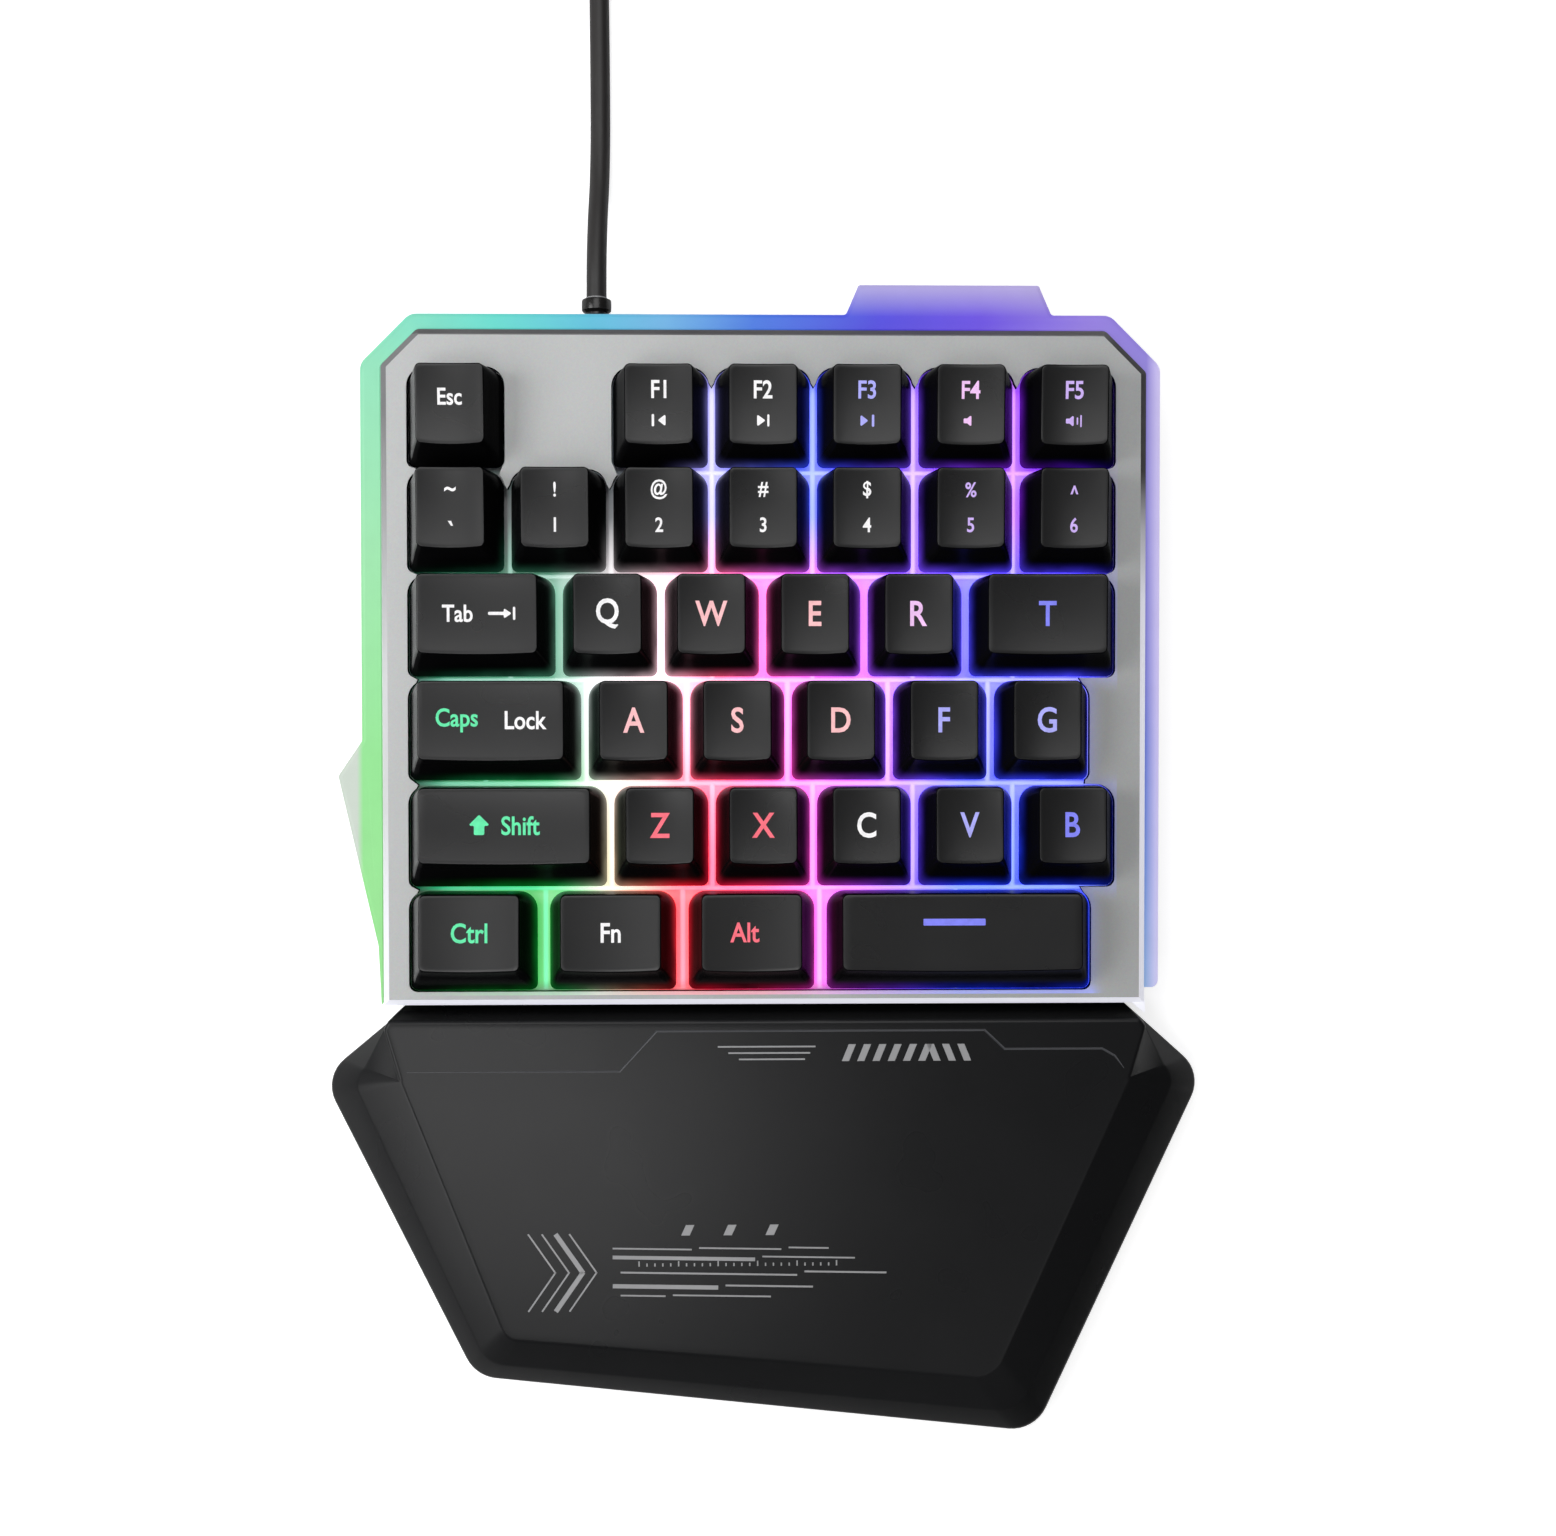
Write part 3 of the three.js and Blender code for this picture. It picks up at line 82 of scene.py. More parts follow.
class KeypadSizes(bpy.types.PropertyGroup):
    """Sizes of the keypad, in the keypad's own frame unless they say otherwise."""

    overall_length: length("Overall length", "From the palm rest's front to the crest's rear", 218.9)
    face_height: length("Face height", "Key plate above the desk at its front edge", 19.4)
    seat_gap: length("Seat gap", "Between pieces that rest on each other", 0.3)
    slide_gap: length("Slide gap", "Around a piece that moves", 0.4)
    pitch_x: length("Key pitch across", "From one key column to the next", 19.05)
    pitch_y: length("Key pitch along", "From one key row to the next", 19.7)
    gap_x: length("Key gap across", "Between two keys of a row", 1.35)
    modifier_width: length("Modifier width", "Width of the control, function and alternate keys", 23.7)
    modifier_gap: length("Modifier gap", "Between the keys of the front row", 2.3)
    space_inset: length("Space bar inset", "From the field's right side to the space bar", 5.075)
    cap_top_width: length("Cap top width", "Width of a one-unit key's top", 12.6)
    cap_rise: length("Cap rise", "Height of the rear row's tops above the face", 8.7)
    cap_dish: length("Cap dish", "Depth of the hollow across a key's top", 0.55)
    cap_hollow: length("Cap hollow", "Depth of the hollow along a key's top", 0.25)
    front_hollow: length("Front hollow", "Depth of that hollow in the front row", 0.05)
    cap_bow: length("Cap bow", "How far the middle of a top's front edge bows out", 0.35)
    cap_sink: length("Cap sink", "How far a key's skirt starts below the face", 1.2)
    cap_wall: length("Cap wall", "Thickness of a key's skirt", 1.4)
    cap_edge: length("Cap edge", "Radius of the edge round a key's top", 0.32)
    cap_rear_radius: length("Cap rear radius", "Radius of the rear corners of a key's foot", 3.4)
    cap_front_radius: length("Cap front radius", "Radius of the front corners of a key's foot", 1.3)
    cap_top_radius: length("Cap top radius", "Radius of the corners of a key's top", 1.1)
    plunger_side: length("Plunger side", "Width of the square plunger under a key", 5.4)
    margin_left: length("Left margin", "From the cover's side to the keys", 4.7)
    margin_right: length("Right margin", "From the keys to the cover's side", 5.65)
    margin_rear: length("Rear margin", "From the keys to the cover's rear edge", 6.1)
    margin_front: length("Front margin", "From the cover's front edge to the keys", 2.1)
    rear_shift: length("Rear shift", "How far plate and strip reach further back than their solids", 0.4)
    cover_bevel: length("Cover bevel", "Width of the slope round the key plate", 1.35)
    cover_depth: length("Cover depth", "Depth of the key plate's skirt", 9.0)
    cover_wall: length("Cover wall", "Thickness of the key plate's skirt", 1.5)
    cover_face: length("Cover thickness", "Thickness of the key plate", 2.0)
    cover_cut_left: length("Left corner cut", "Cut of the cover's rear left corner", 6.8)
    cover_cut_right: length("Right corner cut", "Cut of the cover's rear right corner", 7.8)
    opening_gap: length("Opening gap", "Between the keys and the opening round them", 0.25)
    halo_width: length("Halo width", "How far the lamps' glow reaches over the plate", 3.4)
    strip_left: length("Strip left", "Width of the light strip on the left", 4.2)
    strip_right: length("Strip right", "Width of the light strip on the right", 3.1)
    strip_rear: length("Strip rear", "Width of the light strip at the rear", 3.3)
    strip_top: length("Strip top", "How far the strip's top lies below the face", 3.5)
    strip_depth: length("Strip depth", "How far the strip reaches below the face", 11.0)
    strip_edge: length("Strip edge", "Width of the rounding along the strip", 1.0)
    crest_start: length("Crest start", "From the cover's left side to the rear crest", 87.2)
    crest_width: length("Crest width", "Width of the rear crest at its foot", 38.9)
    crest_depth: length("Crest depth", "How far the crest stands out behind the strip", 5.6)
    lead_diameter: length("Lead diameter", "Diameter of the lead", 3.9)
    coil_middle: length("Coil radius", "Radius at the middle of the coil's turns", 21.05)
    coil_pitch: length("Coil pitch", "From one turn of the coil to the next", 4.45)


class KeypadColours(bpy.types.PropertyGroup):
    """Colours of the keypad's finishes."""

    plate: colour("Key plate", "Satin grey of the key plate", 0.5, 0.51, 0.51)
    plate_edge: colour("Plate edge", "Polished paint of the key plate's bevel", 0.64, 0.64, 0.66)
    # Painted shade: the bevel darkens to this colour towards the rear and the right.
    plate_edge_painted_shade: colour("Plate shade", "Dark end of the paint on the key plate's bevel", 0.012, 0.008, 0.01)
    cap_top: colour("Key tops", "Satin black of the key tops", 0.0105, 0.0105, 0.011)
    cap_side: colour("Key sides", "Gloss black of the key sides", 0.0035, 0.0035, 0.004)
    palm: colour("Palm rest", "Satin black of the palm rest", 0.008, 0.0082, 0.009)
    shell: colour("Bottom shell", "Textured black of the underside", 0.011, 0.011, 0.012)
    rubber: colour("Rubber", "Black rubber of the pads", 0.007, 0.007, 0.0075)
    steel: colour("Steel", "Plated steel of the screws and the plug", 0.6, 0.61, 0.63)
    gold: colour("Contacts", "Gold plating of the plug's contacts", 0.83, 0.6, 0.22)
    lead: colour("Lead", "Dark vinyl of the lead", 0.022, 0.02, 0.0195)
    print_grey: colour("Print", "Light grey of the lines printed on the palm rest", 0.36, 0.36, 0.37)
    board: colour("Circuit boards", "Green solder mask of the boards", 0.012, 0.11, 0.045)
    silicone: colour("Dome sheet", "Milky silicone of the dome sheet", 0.66, 0.7, 0.7)


class Millimetres:
    """The scene's keypad sizes, read in millimetres, with the places that follow from them."""

    def __init__(self, context):
        self.group = context.scene.keypad_sizes
        self.left = -(7 * self.pitch_x + self.margin_left + self.margin_right) / 2
        self.right = -self.left
        self.cover_length = 6 * self.pitch_y + self.margin_rear + self.margin_front
        self.rearmost = self.cover_length + self.strip_rear + self.crest_depth
        self.cover_front = (
            self.overall_length / 2 - self.rearmost * math.cos(SLOPE) - self.strip_depth * math.sin(SLOPE))
        self.field_left = self.left + self.margin_left
        self.field_right = self.right - self.margin_right
        self.field_rear = self.cover_length - self.margin_rear

    def __getattr__(self, name):
        return getattr(self.group, name) / MM

    def face_frame(self):
        """Places the key plate's frame on the desk, still in millimetres."""
        return Matrix.Translation((0, self.cover_front, self.face_height)) @ Matrix.Rotation(SLOPE, 4, "X")


class PieceMaker:
    """What the operators share: each builds its piece from the scene's sizes."""

    def execute(self, context):
        self.build(Millimetres(context))
        return {"FINISHED"}


# Outlines and profiles


def rounded(corners, steps=6, closed=True):
    """Turns a list of (point, radius) into a line whose corners are arcs, in two or three dimensions."""
    line = []
    count = len(corners)
    for i, (point, radius) in enumerate(corners):
        corner = Vector(point)
        if not radius or (not closed and i in (0, count - 1)):
            line.append(corner)
            continue
        before = Vector(corners[i - 1][0]) - corner
        after = Vector(corners[(i + 1) % count][0]) - corner
        half = before.angle(after) / 2
        if half > math.radians(89.5):
            line += [corner] * (steps + 1)
            continue
        reach = min(radius / math.tan(half), 0.48 * before.length, 0.48 * after.length)
        radius = reach * math.tan(half)
        back, ahead = before.normalized(), after.normalized()
        centre = corner + (back + ahead).normalized() * radius / math.sin(half)
        start = corner + back * reach - centre
        side = corner + ahead * reach - centre
        side = (side - start * side.dot(start) / start.dot(start)).normalized() * start.length
        sweep = math.pi - 2 * half
        for k in range(steps + 1):
            angle = sweep * k / steps
            line.append(centre + start * math.cos(angle) + side * math.sin(angle))
    return line


def inset(corners, distance):
    """Moves every edge of an anticlockwise outline inwards. A list gives each edge its own distance."""
    count = len(corners)
    distances = distance if isinstance(distance, (list, tuple)) else [distance] * count
    moved = []
    for i, (point, radius) in enumerate(corners):
        corner = Vector(point)
        u = (corner - Vector(corners[i - 1][0])).normalized()
        v = (Vector(corners[(i + 1) % count][0]) - corner).normalized()
        turn = u.cross(v)
        before, after = distances[i - 1], distances[i]
        if abs(turn) < 1e-5:
            corner = corner + Vector((-u.y, u.x)) * before
        else:
            corner = corner + (v * before - u * after) / turn
        grown = radius - math.copysign(max(before, after, key=abs), turn) if radius else 0
        moved.append((corner, max(0.15, grown) if radius else 0))
    return moved


def box_outline(x0, x1, y0, y1, radius=0.0):
    return [((x0, y0), radius), ((x1, y0), radius), ((x1, y1), radius), ((x0, y1), radius)]


def circle(radius, count):
    turns = [math.tau * k / count for k in range(count)]
    return [Vector((radius * math.cos(turn), radius * math.sin(turn))) for turn in turns]


def curve_through(points, pieces):
    """A Catmull-Rom curve through points, with each stretch cut in pieces."""
    points = [Vector(p) for p in points]
    ends = [2 * points[0] - points[1], *points, 2 * points[-1] - points[-2]]
    line = []
    for a, b, c, d in zip(ends, ends[1:], ends[2:], ends[3:]):
        for k in range(pieces):
            t = k / pieces
            line.append(0.5 * (2 * b + (c - a) * t + (2 * a - 5 * b + 4 * c - d) * t * t
                               + (3 * b - a - 3 * c + d) * t ** 3))
    return [*line, points[-1]]


class Skin:
    """A surface built from rings of points, in millimetres."""

    def __init__(self):
        self.bm = bmesh.new()

    def ring(self, points):
        return [self.bm.verts.new(p) for p in points]

    def strip(self, low, high, finish=0):
        for i, (a, b) in enumerate(zip(low, high)):
            j = (i + 1) % len(low)
            self.bm.faces.new((a, low[j], high[j], b)).material_index = finish

    def stack(self, rings, finish=0):
        """Joins rings of points one after another and returns the first and the last."""
        made = [self.ring(points) for points in rings]
        for low, high in zip(made, made[1:]):
            self.strip(low, high, finish)
        return made[0], made[-1]

    def walls(self, corners, profile, steps=6, finish=0):
        """Stands a wall on an outline. The profile lists (inset, height), and an inset may be a list."""
        rings = []
        for distance, height in profile:
            outline = rounded(inset(corners, distance), steps)
            rings.append([(p[0], p[1], height) for p in outline])
        return self.stack(rings, finish)

    def fill(self, *loops, finish=0):
        """Closes a loop with a flat face, with the other loops as holes."""
        corners = [vert for loop in loops for vert in loop]
        for triangle in tessellate_polygon([[vert.co for vert in loop] for loop in loops]):
            self.bm.faces.new([corners[i] for i in triangle]).material_index = finish

    def block(self, corners, low, high, edge=0.0, steps=3, finish=0):
        """A closed slab with rounded rims."""
        profile = [(0, low), (0, high)]
        if edge:
            bends = [((edge, low), 0), ((0, low), edge), ((0, high), edge), ((edge, high), 0)]
            profile = [tuple(p) for p in rounded(bends, 4, closed=False)]
        bottom, top = self.walls(corners, profile, steps, finish)
        self.fill(bottom, finish=finish)
        self.fill(top, finish=finish)

    def loft(self, sections):
        """A closed piece through (height, outline) sections."""
        for end in self.stack([[(*p, z) for p in outline] for z, outline in sections]):
            self.fill(end)
        return self

    def tube(self, line, radius, sides):
        """A round tube along a line, its rings kept upright."""
        turns = [math.tau * k / sides for k in range(sides)]
        rings = []
        for i, point in enumerate(line):
            ahead = line[min(i + 1, len(line) - 1)] - line[max(i - 1, 0)]
            across = ahead.cross(Vector((0, 0, 1)))
            across = across.normalized() if across.length > 1e-6 else Vector((1, 0, 0))
            rise = across.cross(ahead).normalized()
            rings.append([point + radius * (across * math.cos(turn) + rise * math.sin(turn)) for turn in turns])
        for end in self.stack(rings):
            self.fill(end)

    def join(self, mesh, matrix=Matrix(), finish=0):
        """Adds a mesh that was made elsewhere."""
        mesh.transform(matrix)
        known = len(self.bm.faces)
        self.bm.from_mesh(mesh)
        for face in list(self.bm.faces)[known:]:
            face.material_index = finish
        bpy.data.meshes.remove(mesh)

    def mesh(self, name):
        """The finished mesh, still in millimetres."""
        bmesh.ops.remove_doubles(self.bm, verts=self.bm.verts, dist=2e-4)
        bmesh.ops.dissolve_degenerate(self.bm, edges=self.bm.edges, dist=1e-5)
        bmesh.ops.recalc_face_normals(self.bm, faces=self.bm.faces)
        mesh = bpy.data.meshes.new(name)
        self.bm.to_mesh(mesh)
        self.bm.free()
        return mesh

    def object(self, name, finishes, place=Matrix(), sharp=35):
        """The finished object: at the origin, in metres, with its place in its mesh."""
        return placed(name, self.mesh(name), finishes, place, sharp)


def placed(name, mesh, finishes=(), place=Matrix(), sharp=35):
    """An object for a mesh in millimetres, which is moved to its place in metres."""
    mesh.name = name
    mesh.transform(Matrix.Scale(MM, 4) @ place)
    mesh.shade_smooth()
    mesh.set_sharp_from_angle(angle=math.radians(sharp))
    for finish in finishes:
        mesh.materials.append(finish)
    piece = bpy.data.objects.new(name, mesh)
    bpy.context.scene.collection.objects.link(piece)
    return piece


def settle(piece, body="housing", slot=None, nodes=()):
    """Lets a finished piece ride on its body and stand for its nodes."""
    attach(piece, body)
    if nodes:
        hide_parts(*nodes)
    return piece


def settle_grown(name, tree, values, mesh, place=Matrix(), sharp=35, **riding):
    """Grows a mesh into its last form, places it and settles it."""
    return settle(placed(name, grown(name, tree, values, mesh), (), place, sharp), **riding)


def evaluated_mesh(piece):
    """The mesh of an object with its modifiers applied. The object itself is deleted."""
    seen = piece.evaluated_get(bpy.context.evaluated_depsgraph_get())
    mesh = bpy.data.meshes.new_from_object(seen)
    bpy.data.objects.remove(piece)
    return mesh


# Node trees


def node(tree, kind, inputs=None, **settings):
    """Adds a node. Its inputs are set from values or linked from sockets, by name or by number."""
    made = tree.nodes.new(kind)
    for key, value in settings.items():
        setattr(made, key, value)
    for key, value in (inputs or {}).items():
        if isinstance(value, bpy.types.NodeSocket):
            tree.links.new(value, made.inputs[key])
        else:
            made.inputs[key].default_value = value
    return made


def sums(tree, operation, result, *others):
    """The result of a Math node, or of a row of them that takes in one value after another."""
    for other in others:
        result = node(tree, "ShaderNodeMath", {0: result, 1: other}, operation=operation).outputs[0]
    return result


def vectors(tree, operation, *values):
    """A Vector Math node's result. The Scale operation takes a vector and a number."""
    slots = (0, "Scale") if operation == "SCALE" else range(len(values))
    made = node(tree, "ShaderNodeVectorMath", dict(zip(slots, values)), operation=operation)
    return made.outputs["Value" if operation in {"LENGTH", "DOT_PRODUCT", "DISTANCE"} else "Vector"]


def ranged(tree, value, start, end, low=0.0, high=1.0):
    """Maps start..end to low..high and holds the ends."""
    return node(tree, "ShaderNodeMapRange", {
        "Value": value, "From Min": start, "From Max": end, "To Min": low, "To Max": high}).outputs[0]


def between(tree, factor, low, high):
    return ranged(tree, factor, 0.0, 1.0, low, high)


def mixed(tree, factor, first, second, kind="RGBA"):
    """A mix of two colours or, with kind FLOAT, of two numbers. Each is a socket or a value."""
    values = {"Factor": factor}
    for key, value in (("A", first), ("B", second)):
        values[key] = value if isinstance(value, (bpy.types.NodeSocket, float)) else (*value, 1)
    return node(tree, "ShaderNodeMix", values, data_type=kind).outputs["Result"]


def axes(tree, vector):
    """The X, Y and Z of a vector."""
    return node(tree, "ShaderNodeSeparateXYZ", {0: vector}).outputs


def packed(tree, **values):
    """A vector from its X, Y and Z, of which those left out are nought."""
    return node(tree, "ShaderNodeCombineXYZ", values).outputs[0]


def geometry_tree(name, inputs):
    """A Geometry Nodes tree with named inputs, and the sockets they arrive at."""
    tree = bpy.data.node_groups.new(name, "GeometryNodeTree")
    tree.interface.new_socket("Geometry", in_out="INPUT", socket_type="NodeSocketGeometry")
    tree.interface.new_socket("Geometry", in_out="OUTPUT", socket_type="NodeSocketGeometry")
    for label, kind in inputs:
        tree.interface.new_socket(label, in_out="INPUT", socket_type=f"NodeSocket{kind}")
    start = tree.nodes.new("NodeGroupInput")
    return tree, start.outputs


def end_tree(tree, geometry, finishes):
    """Ends a tree with Realize Instances and one Set Material for each (material, selection)."""
    geometry = node(tree, "GeometryNodeRealizeInstances", {"Geometry": geometry}).outputs["Geometry"]
    for finish, selection in finishes:
        inputs = {"Geometry": geometry, "Material": finish}
        if selection is not None:
            inputs["Selection"] = selection
        geometry = node(tree, "GeometryNodeSetMaterial", inputs).outputs["Geometry"]
    node(tree, "NodeGroupOutput", {"Geometry": geometry})


def joined(tree, *pieces):
    """Several geometries as one."""
    made = tree.nodes.new("GeometryNodeJoinGeometry")
    for piece in pieces:
        tree.links.new(piece, made.inputs[0])
    return made.outputs[0]


def grown(name, tree, values, mesh):
    """Runs a Geometry Nodes tree on a mesh, with its inputs set, and returns the plain mesh."""
    piece = bpy.data.objects.new(name, mesh)
    bpy.context.scene.collection.objects.link(piece)
    modifier = piece.modifiers.new("Form", "NODES")
    modifier.node_group = tree
    for item in tree.interface.items_tree:
        if item.in_out == "INPUT" and item.name in values:
            modifier[item.identifier] = values[item.name]
    bpy.context.view_layer.update()
    return evaluated_mesh(piece)
# Finishes


def new_finish(name):
    material = bpy.data.materials.new(name)
    material.use_nodes = True
    tree = material.node_tree
    return material, tree, tree.nodes["Principled BSDF"]


def set_shader(shader, **values):
    """Sets the shader's inputs from values or links them from sockets. An underscore stands for a space."""
    for key, value in values.items():
        socket = shader.inputs[key.replace("_", " ")]
        if isinstance(value, bpy.types.NodeSocket):
            shader.id_data.links.new(value, socket)
        else:
            socket.default_value = value


def object_place(tree):
    return node(tree, "ShaderNodeTexCoord").outputs["Object"]


def speckle(tree, size, detail=3.0, place=None):
    """Noise between 0 and 1 whose grains are about size metres across."""
    return node(tree, "ShaderNodeTexNoise", {
        "Vector": place or object_place(tree), "Scale": 1 / size, "Detail": detail}).outputs[0]


def ramp(tree, factor, stops):
    """A colour ramp over (position, (red, green, blue)) stops."""
    made = node(tree, "ShaderNodeValToRGB", {"Fac": factor})
    elements = made.color_ramp.elements
    for position, value in stops[1:-1]:
        elements.new(position)
    for element, (position, value) in zip(elements, stops):
        element.position = position
        element.color = (*value, 1)
    return made.outputs["Color"]


def bumped(tree, height, depth):
    return node(tree, "ShaderNodeBump", {"Height": height, "Distance": depth}).outputs["Normal"]


def deepened(tree, tint, gamma):
    return node(tree, "ShaderNodeGamma", {"Color": tint, "Gamma": gamma}).outputs[0]


def lighter(tint, share):
    return tuple(min(1, c * share) for c in tint[:3])


def toned(tree, factor, tint, low, high):
    """A tint that varies from a darker to a lighter share of itself."""
    return mixed(tree, factor, lighter(tint, low), lighter(tint, high))


def moulded(name, tint, roughness, grain=0.00035, depth=0.000012, wear_and_painted_light=1.5, **values):
    """Moulded plastic: a fine grain, cloudy tone and lighter edges, partly edge wear and partly a painted highlight.
    """
    material, tree, shader = new_finish(name)
    clouds = speckle(tree, 0.018, 2.0)
    # The rims that the Bevel node finds are painted lighter: partly edge wear, partly a painted highlight along them.
    corners = node(tree, "ShaderNodeBevel", {"Radius": 0.0005}, samples=4).outputs[0]
    bent = vectors(tree, "DISTANCE", corners, node(tree, "ShaderNodeNewGeometry").outputs["Normal"])
    set_shader(
        shader, Base_Color=mixed(tree, ranged(tree, bent, 0.1, 0.7), toned(tree, clouds, tint, 0.86, 1.14),
                                 lighter(tint, wear_and_painted_light)),
        Roughness=between(tree, clouds, roughness * 0.92, roughness * 1.08),
        Normal=bumped(tree, speckle(tree, grain, 2.0), depth), **values)
    return material


def painted_plate(name, tint, mm):
    """Satin metallic paint: a fine sparkle over a cloudy tone, with a painted glow in the lamps' colours beside the
    opening.
    """
    material, tree, shader = new_finish(name)
    place = object_place(tree)
    flakes = node(tree, "ShaderNodeTexVoronoi", {"Vector": place, "Scale": 1 / 0.00025}).outputs["Color"]
    tone = toned(tree, speckle(tree, 0.05, 1.0), tint, 0.95, 1.05)
    # Painted light: the plate glows in the lamps' colours beside the keys, more towards the front.
    ahead = ranged(tree, axes(tree, place)["Y"], (mm.cover_front + 4) * MM, (mm.cover_front + 2) * MM, 0.1, 0.4)
    painted_glow_beside_keys = sums(tree, "POWER", beside_keys(tree, mm), 2.0)
    set_shader(
        shader, Base_Color=mixed(tree, 0.04, tone, flakes),
        Roughness=between(tree, speckle(tree, 0.004, 2.0), 0.44, 0.52),
        Normal=bumped(tree, speckle(tree, 0.0003, 2.0), 0.000006),
        Emission_Color=deepened(tree, lamp_glow(tree, mm), 1.6),
        Emission_Strength=sums(tree, "MULTIPLY", painted_glow_beside_keys, ahead, faded_edges(tree, mm, 12, 0.01, 0.01, 30)),
        Metallic=0.3, Specular_IOR_Level=0.35)
    return material


def plated(name, tint, roughness):
    """Plated metal with fine drawing marks."""
    material, tree, shader = new_finish(name)
    stretched = node(tree, "ShaderNodeMapping", {"Vector": object_place(tree), "Scale": (1, 1, 30)}).outputs[0]
    marks = speckle(tree, 0.0006, 3.0, stretched)
    set_shader(
        shader, Base_Color=toned(tree, marks, tint, 0.85, 1.1), Metallic=1.0,
        Normal=bumped(tree, marks, 0.000006),
        Roughness=between(tree, marks, roughness * 0.8, roughness * 1.25))
    return material


def vinyl(name, tint):
    """The lead's vinyl: drawn lengthwise, softly mottled."""
    material, tree, shader = new_finish(name)
    set_shader(
        shader, Base_Color=toned(tree, speckle(tree, 0.006), tint, 0.8, 1.25), Specular_IOR_Level=0.5,
        Roughness=between(tree, speckle(tree, 0.002, 2.0), 0.42, 0.52),
        Normal=bumped(tree, speckle(tree, 0.0004, 2.0), 0.00001))
    return material


# Colours of the light along the strip, from the fin's foot round the rear to the right arm's end
SWEEP = (
    (0.0, (0.4, 0.95, 0.36)), (0.12, (0.37, 0.98, 0.37)), (0.22, (0.42, 0.97, 0.52)), (0.31, (0.36, 0.95, 0.62)),
    (0.375, (0.17, 0.92, 0.8)), (0.42, (0.14, 0.68, 0.92)), (0.457, (0.2, 0.58, 1.0)), (0.5, (0.08, 0.25, 0.98)),
    (0.56, (0.1, 0.08, 0.95)), (0.61, (0.19, 0.1, 1.0)), (0.66, (0.4, 0.28, 1.0)), (0.71, (0.4, 0.34, 0.95)),
    (0.8, (0.34, 0.32, 0.95)), (0.85, (0.28, 0.3, 0.95)), (0.88, (0.2, 0.28, 0.95)), (0.94, (0.24, 0.4, 1.0)),
    (1.0, (0.38, 0.62, 1.05)))


def lit_acrylic(name, mm):
    """Frosted acrylic lit from inside: the colour runs along the strip and pales to its outer edge."""
    material, tree, shader = new_finish(name)
    glow = ramp(tree, node(tree, "ShaderNodeAttribute", attribute_name="along").outputs["Fac"], SWEEP)
    place = axes(tree, object_place(tree))
    rear, left = mm.cover_front + mm.cover_length + mm.rear_shift, mm.left - mm.strip_left
    for axis, start, end, share, tint in (
            ("Y", rear + 2.8, rear + 10.2, 0.9, (0.78, 0.7, 0.98)),
            ("X", mm.right + 0.3, mm.right + mm.strip_right - 0.4, 0.8, (1.05, 0.95, 1.4)),
            ("X", left + 0.3, left - 0.8, 0.95, (0.78, 0.85, 0.78))):
        glow = mixed(tree, ranged(tree, place[axis], start * MM, end * MM, 0.0, share), glow, tint)
    soft = sums(tree, "MULTIPLY", between(tree, speckle(tree, 0.004), 0.94, 1.06), 0.5)
    set_shader(
        shader, Base_Color=vectors(tree, "SCALE", glow, 0.3), Emission_Color=glow, Emission_Strength=soft,
        Normal=bumped(tree, speckle(tree, 0.0004, 2.0), 0.00001), Roughness=0.38, Specular_IOR_Level=0.3)
    return material


# Colours of the lamps under the keys, from left to right, for the rear, middle and front rows
REAR_LAMPS = (
    (0.0, (0.003, 0.008, 0.006)), (0.2, (0.01, 0.03, 0.025)), (0.35, (0.04, 0.04, 0.05)),
    (0.42, (0.62, 0.6, 0.95)),
    (0.57, (0.26, 0.36, 1.1)), (0.71, (0.55, 0.34, 1.1)), (0.86, (0.6, 0.2, 1.0)), (1.0, (0.3, 0.15, 0.9)))
MIDDLE_LAMPS = (
    (0.0, (0.1, 0.4, 0.28)), (0.2, (0.35, 0.62, 0.5)), (0.27, (0.95, 0.95, 0.95)), (0.35, (1.2, 1.0, 1.05)),
    (0.44, (1.3, 0.5, 0.7)), (0.54, (1.15, 0.42, 0.98)), (0.66, (0.8, 0.42, 1.3)), (0.8, (0.4, 0.4, 1.3)))
FRONT_LAMPS = (
    (0.0, (0.01, 0.35, 0.15)), (0.2, (0.02, 0.72, 0.26)), (0.27, (0.85, 0.9, 0.75)), (0.33, (1.1, 0.6, 0.5)),
    (0.39, (1.2, 0.14, 0.26)), (0.5, (1.2, 0.24, 0.52)), (0.6, (0.95, 0.3, 1.0)), (0.78, (0.22, 0.34, 1.25)))


def lamp_glow(tree, mm):
    """The lamps' colours over the key field: they run together from one lamp and one row to the next."""
    place = axes(tree, object_place(tree))
    across = ranged(tree, place["X"], mm.field_left * MM, mm.field_right * MM)
    glow = ramp(tree, across, FRONT_LAMPS)
    for stops, low, high in ((MIDDLE_LAMPS, 0.001, 0.028), (REAR_LAMPS, 0.052, 0.066)):
        glow = mixed(tree, ranged(tree, place["Y"], low, high), glow, ramp(tree, across, stops))
    return glow


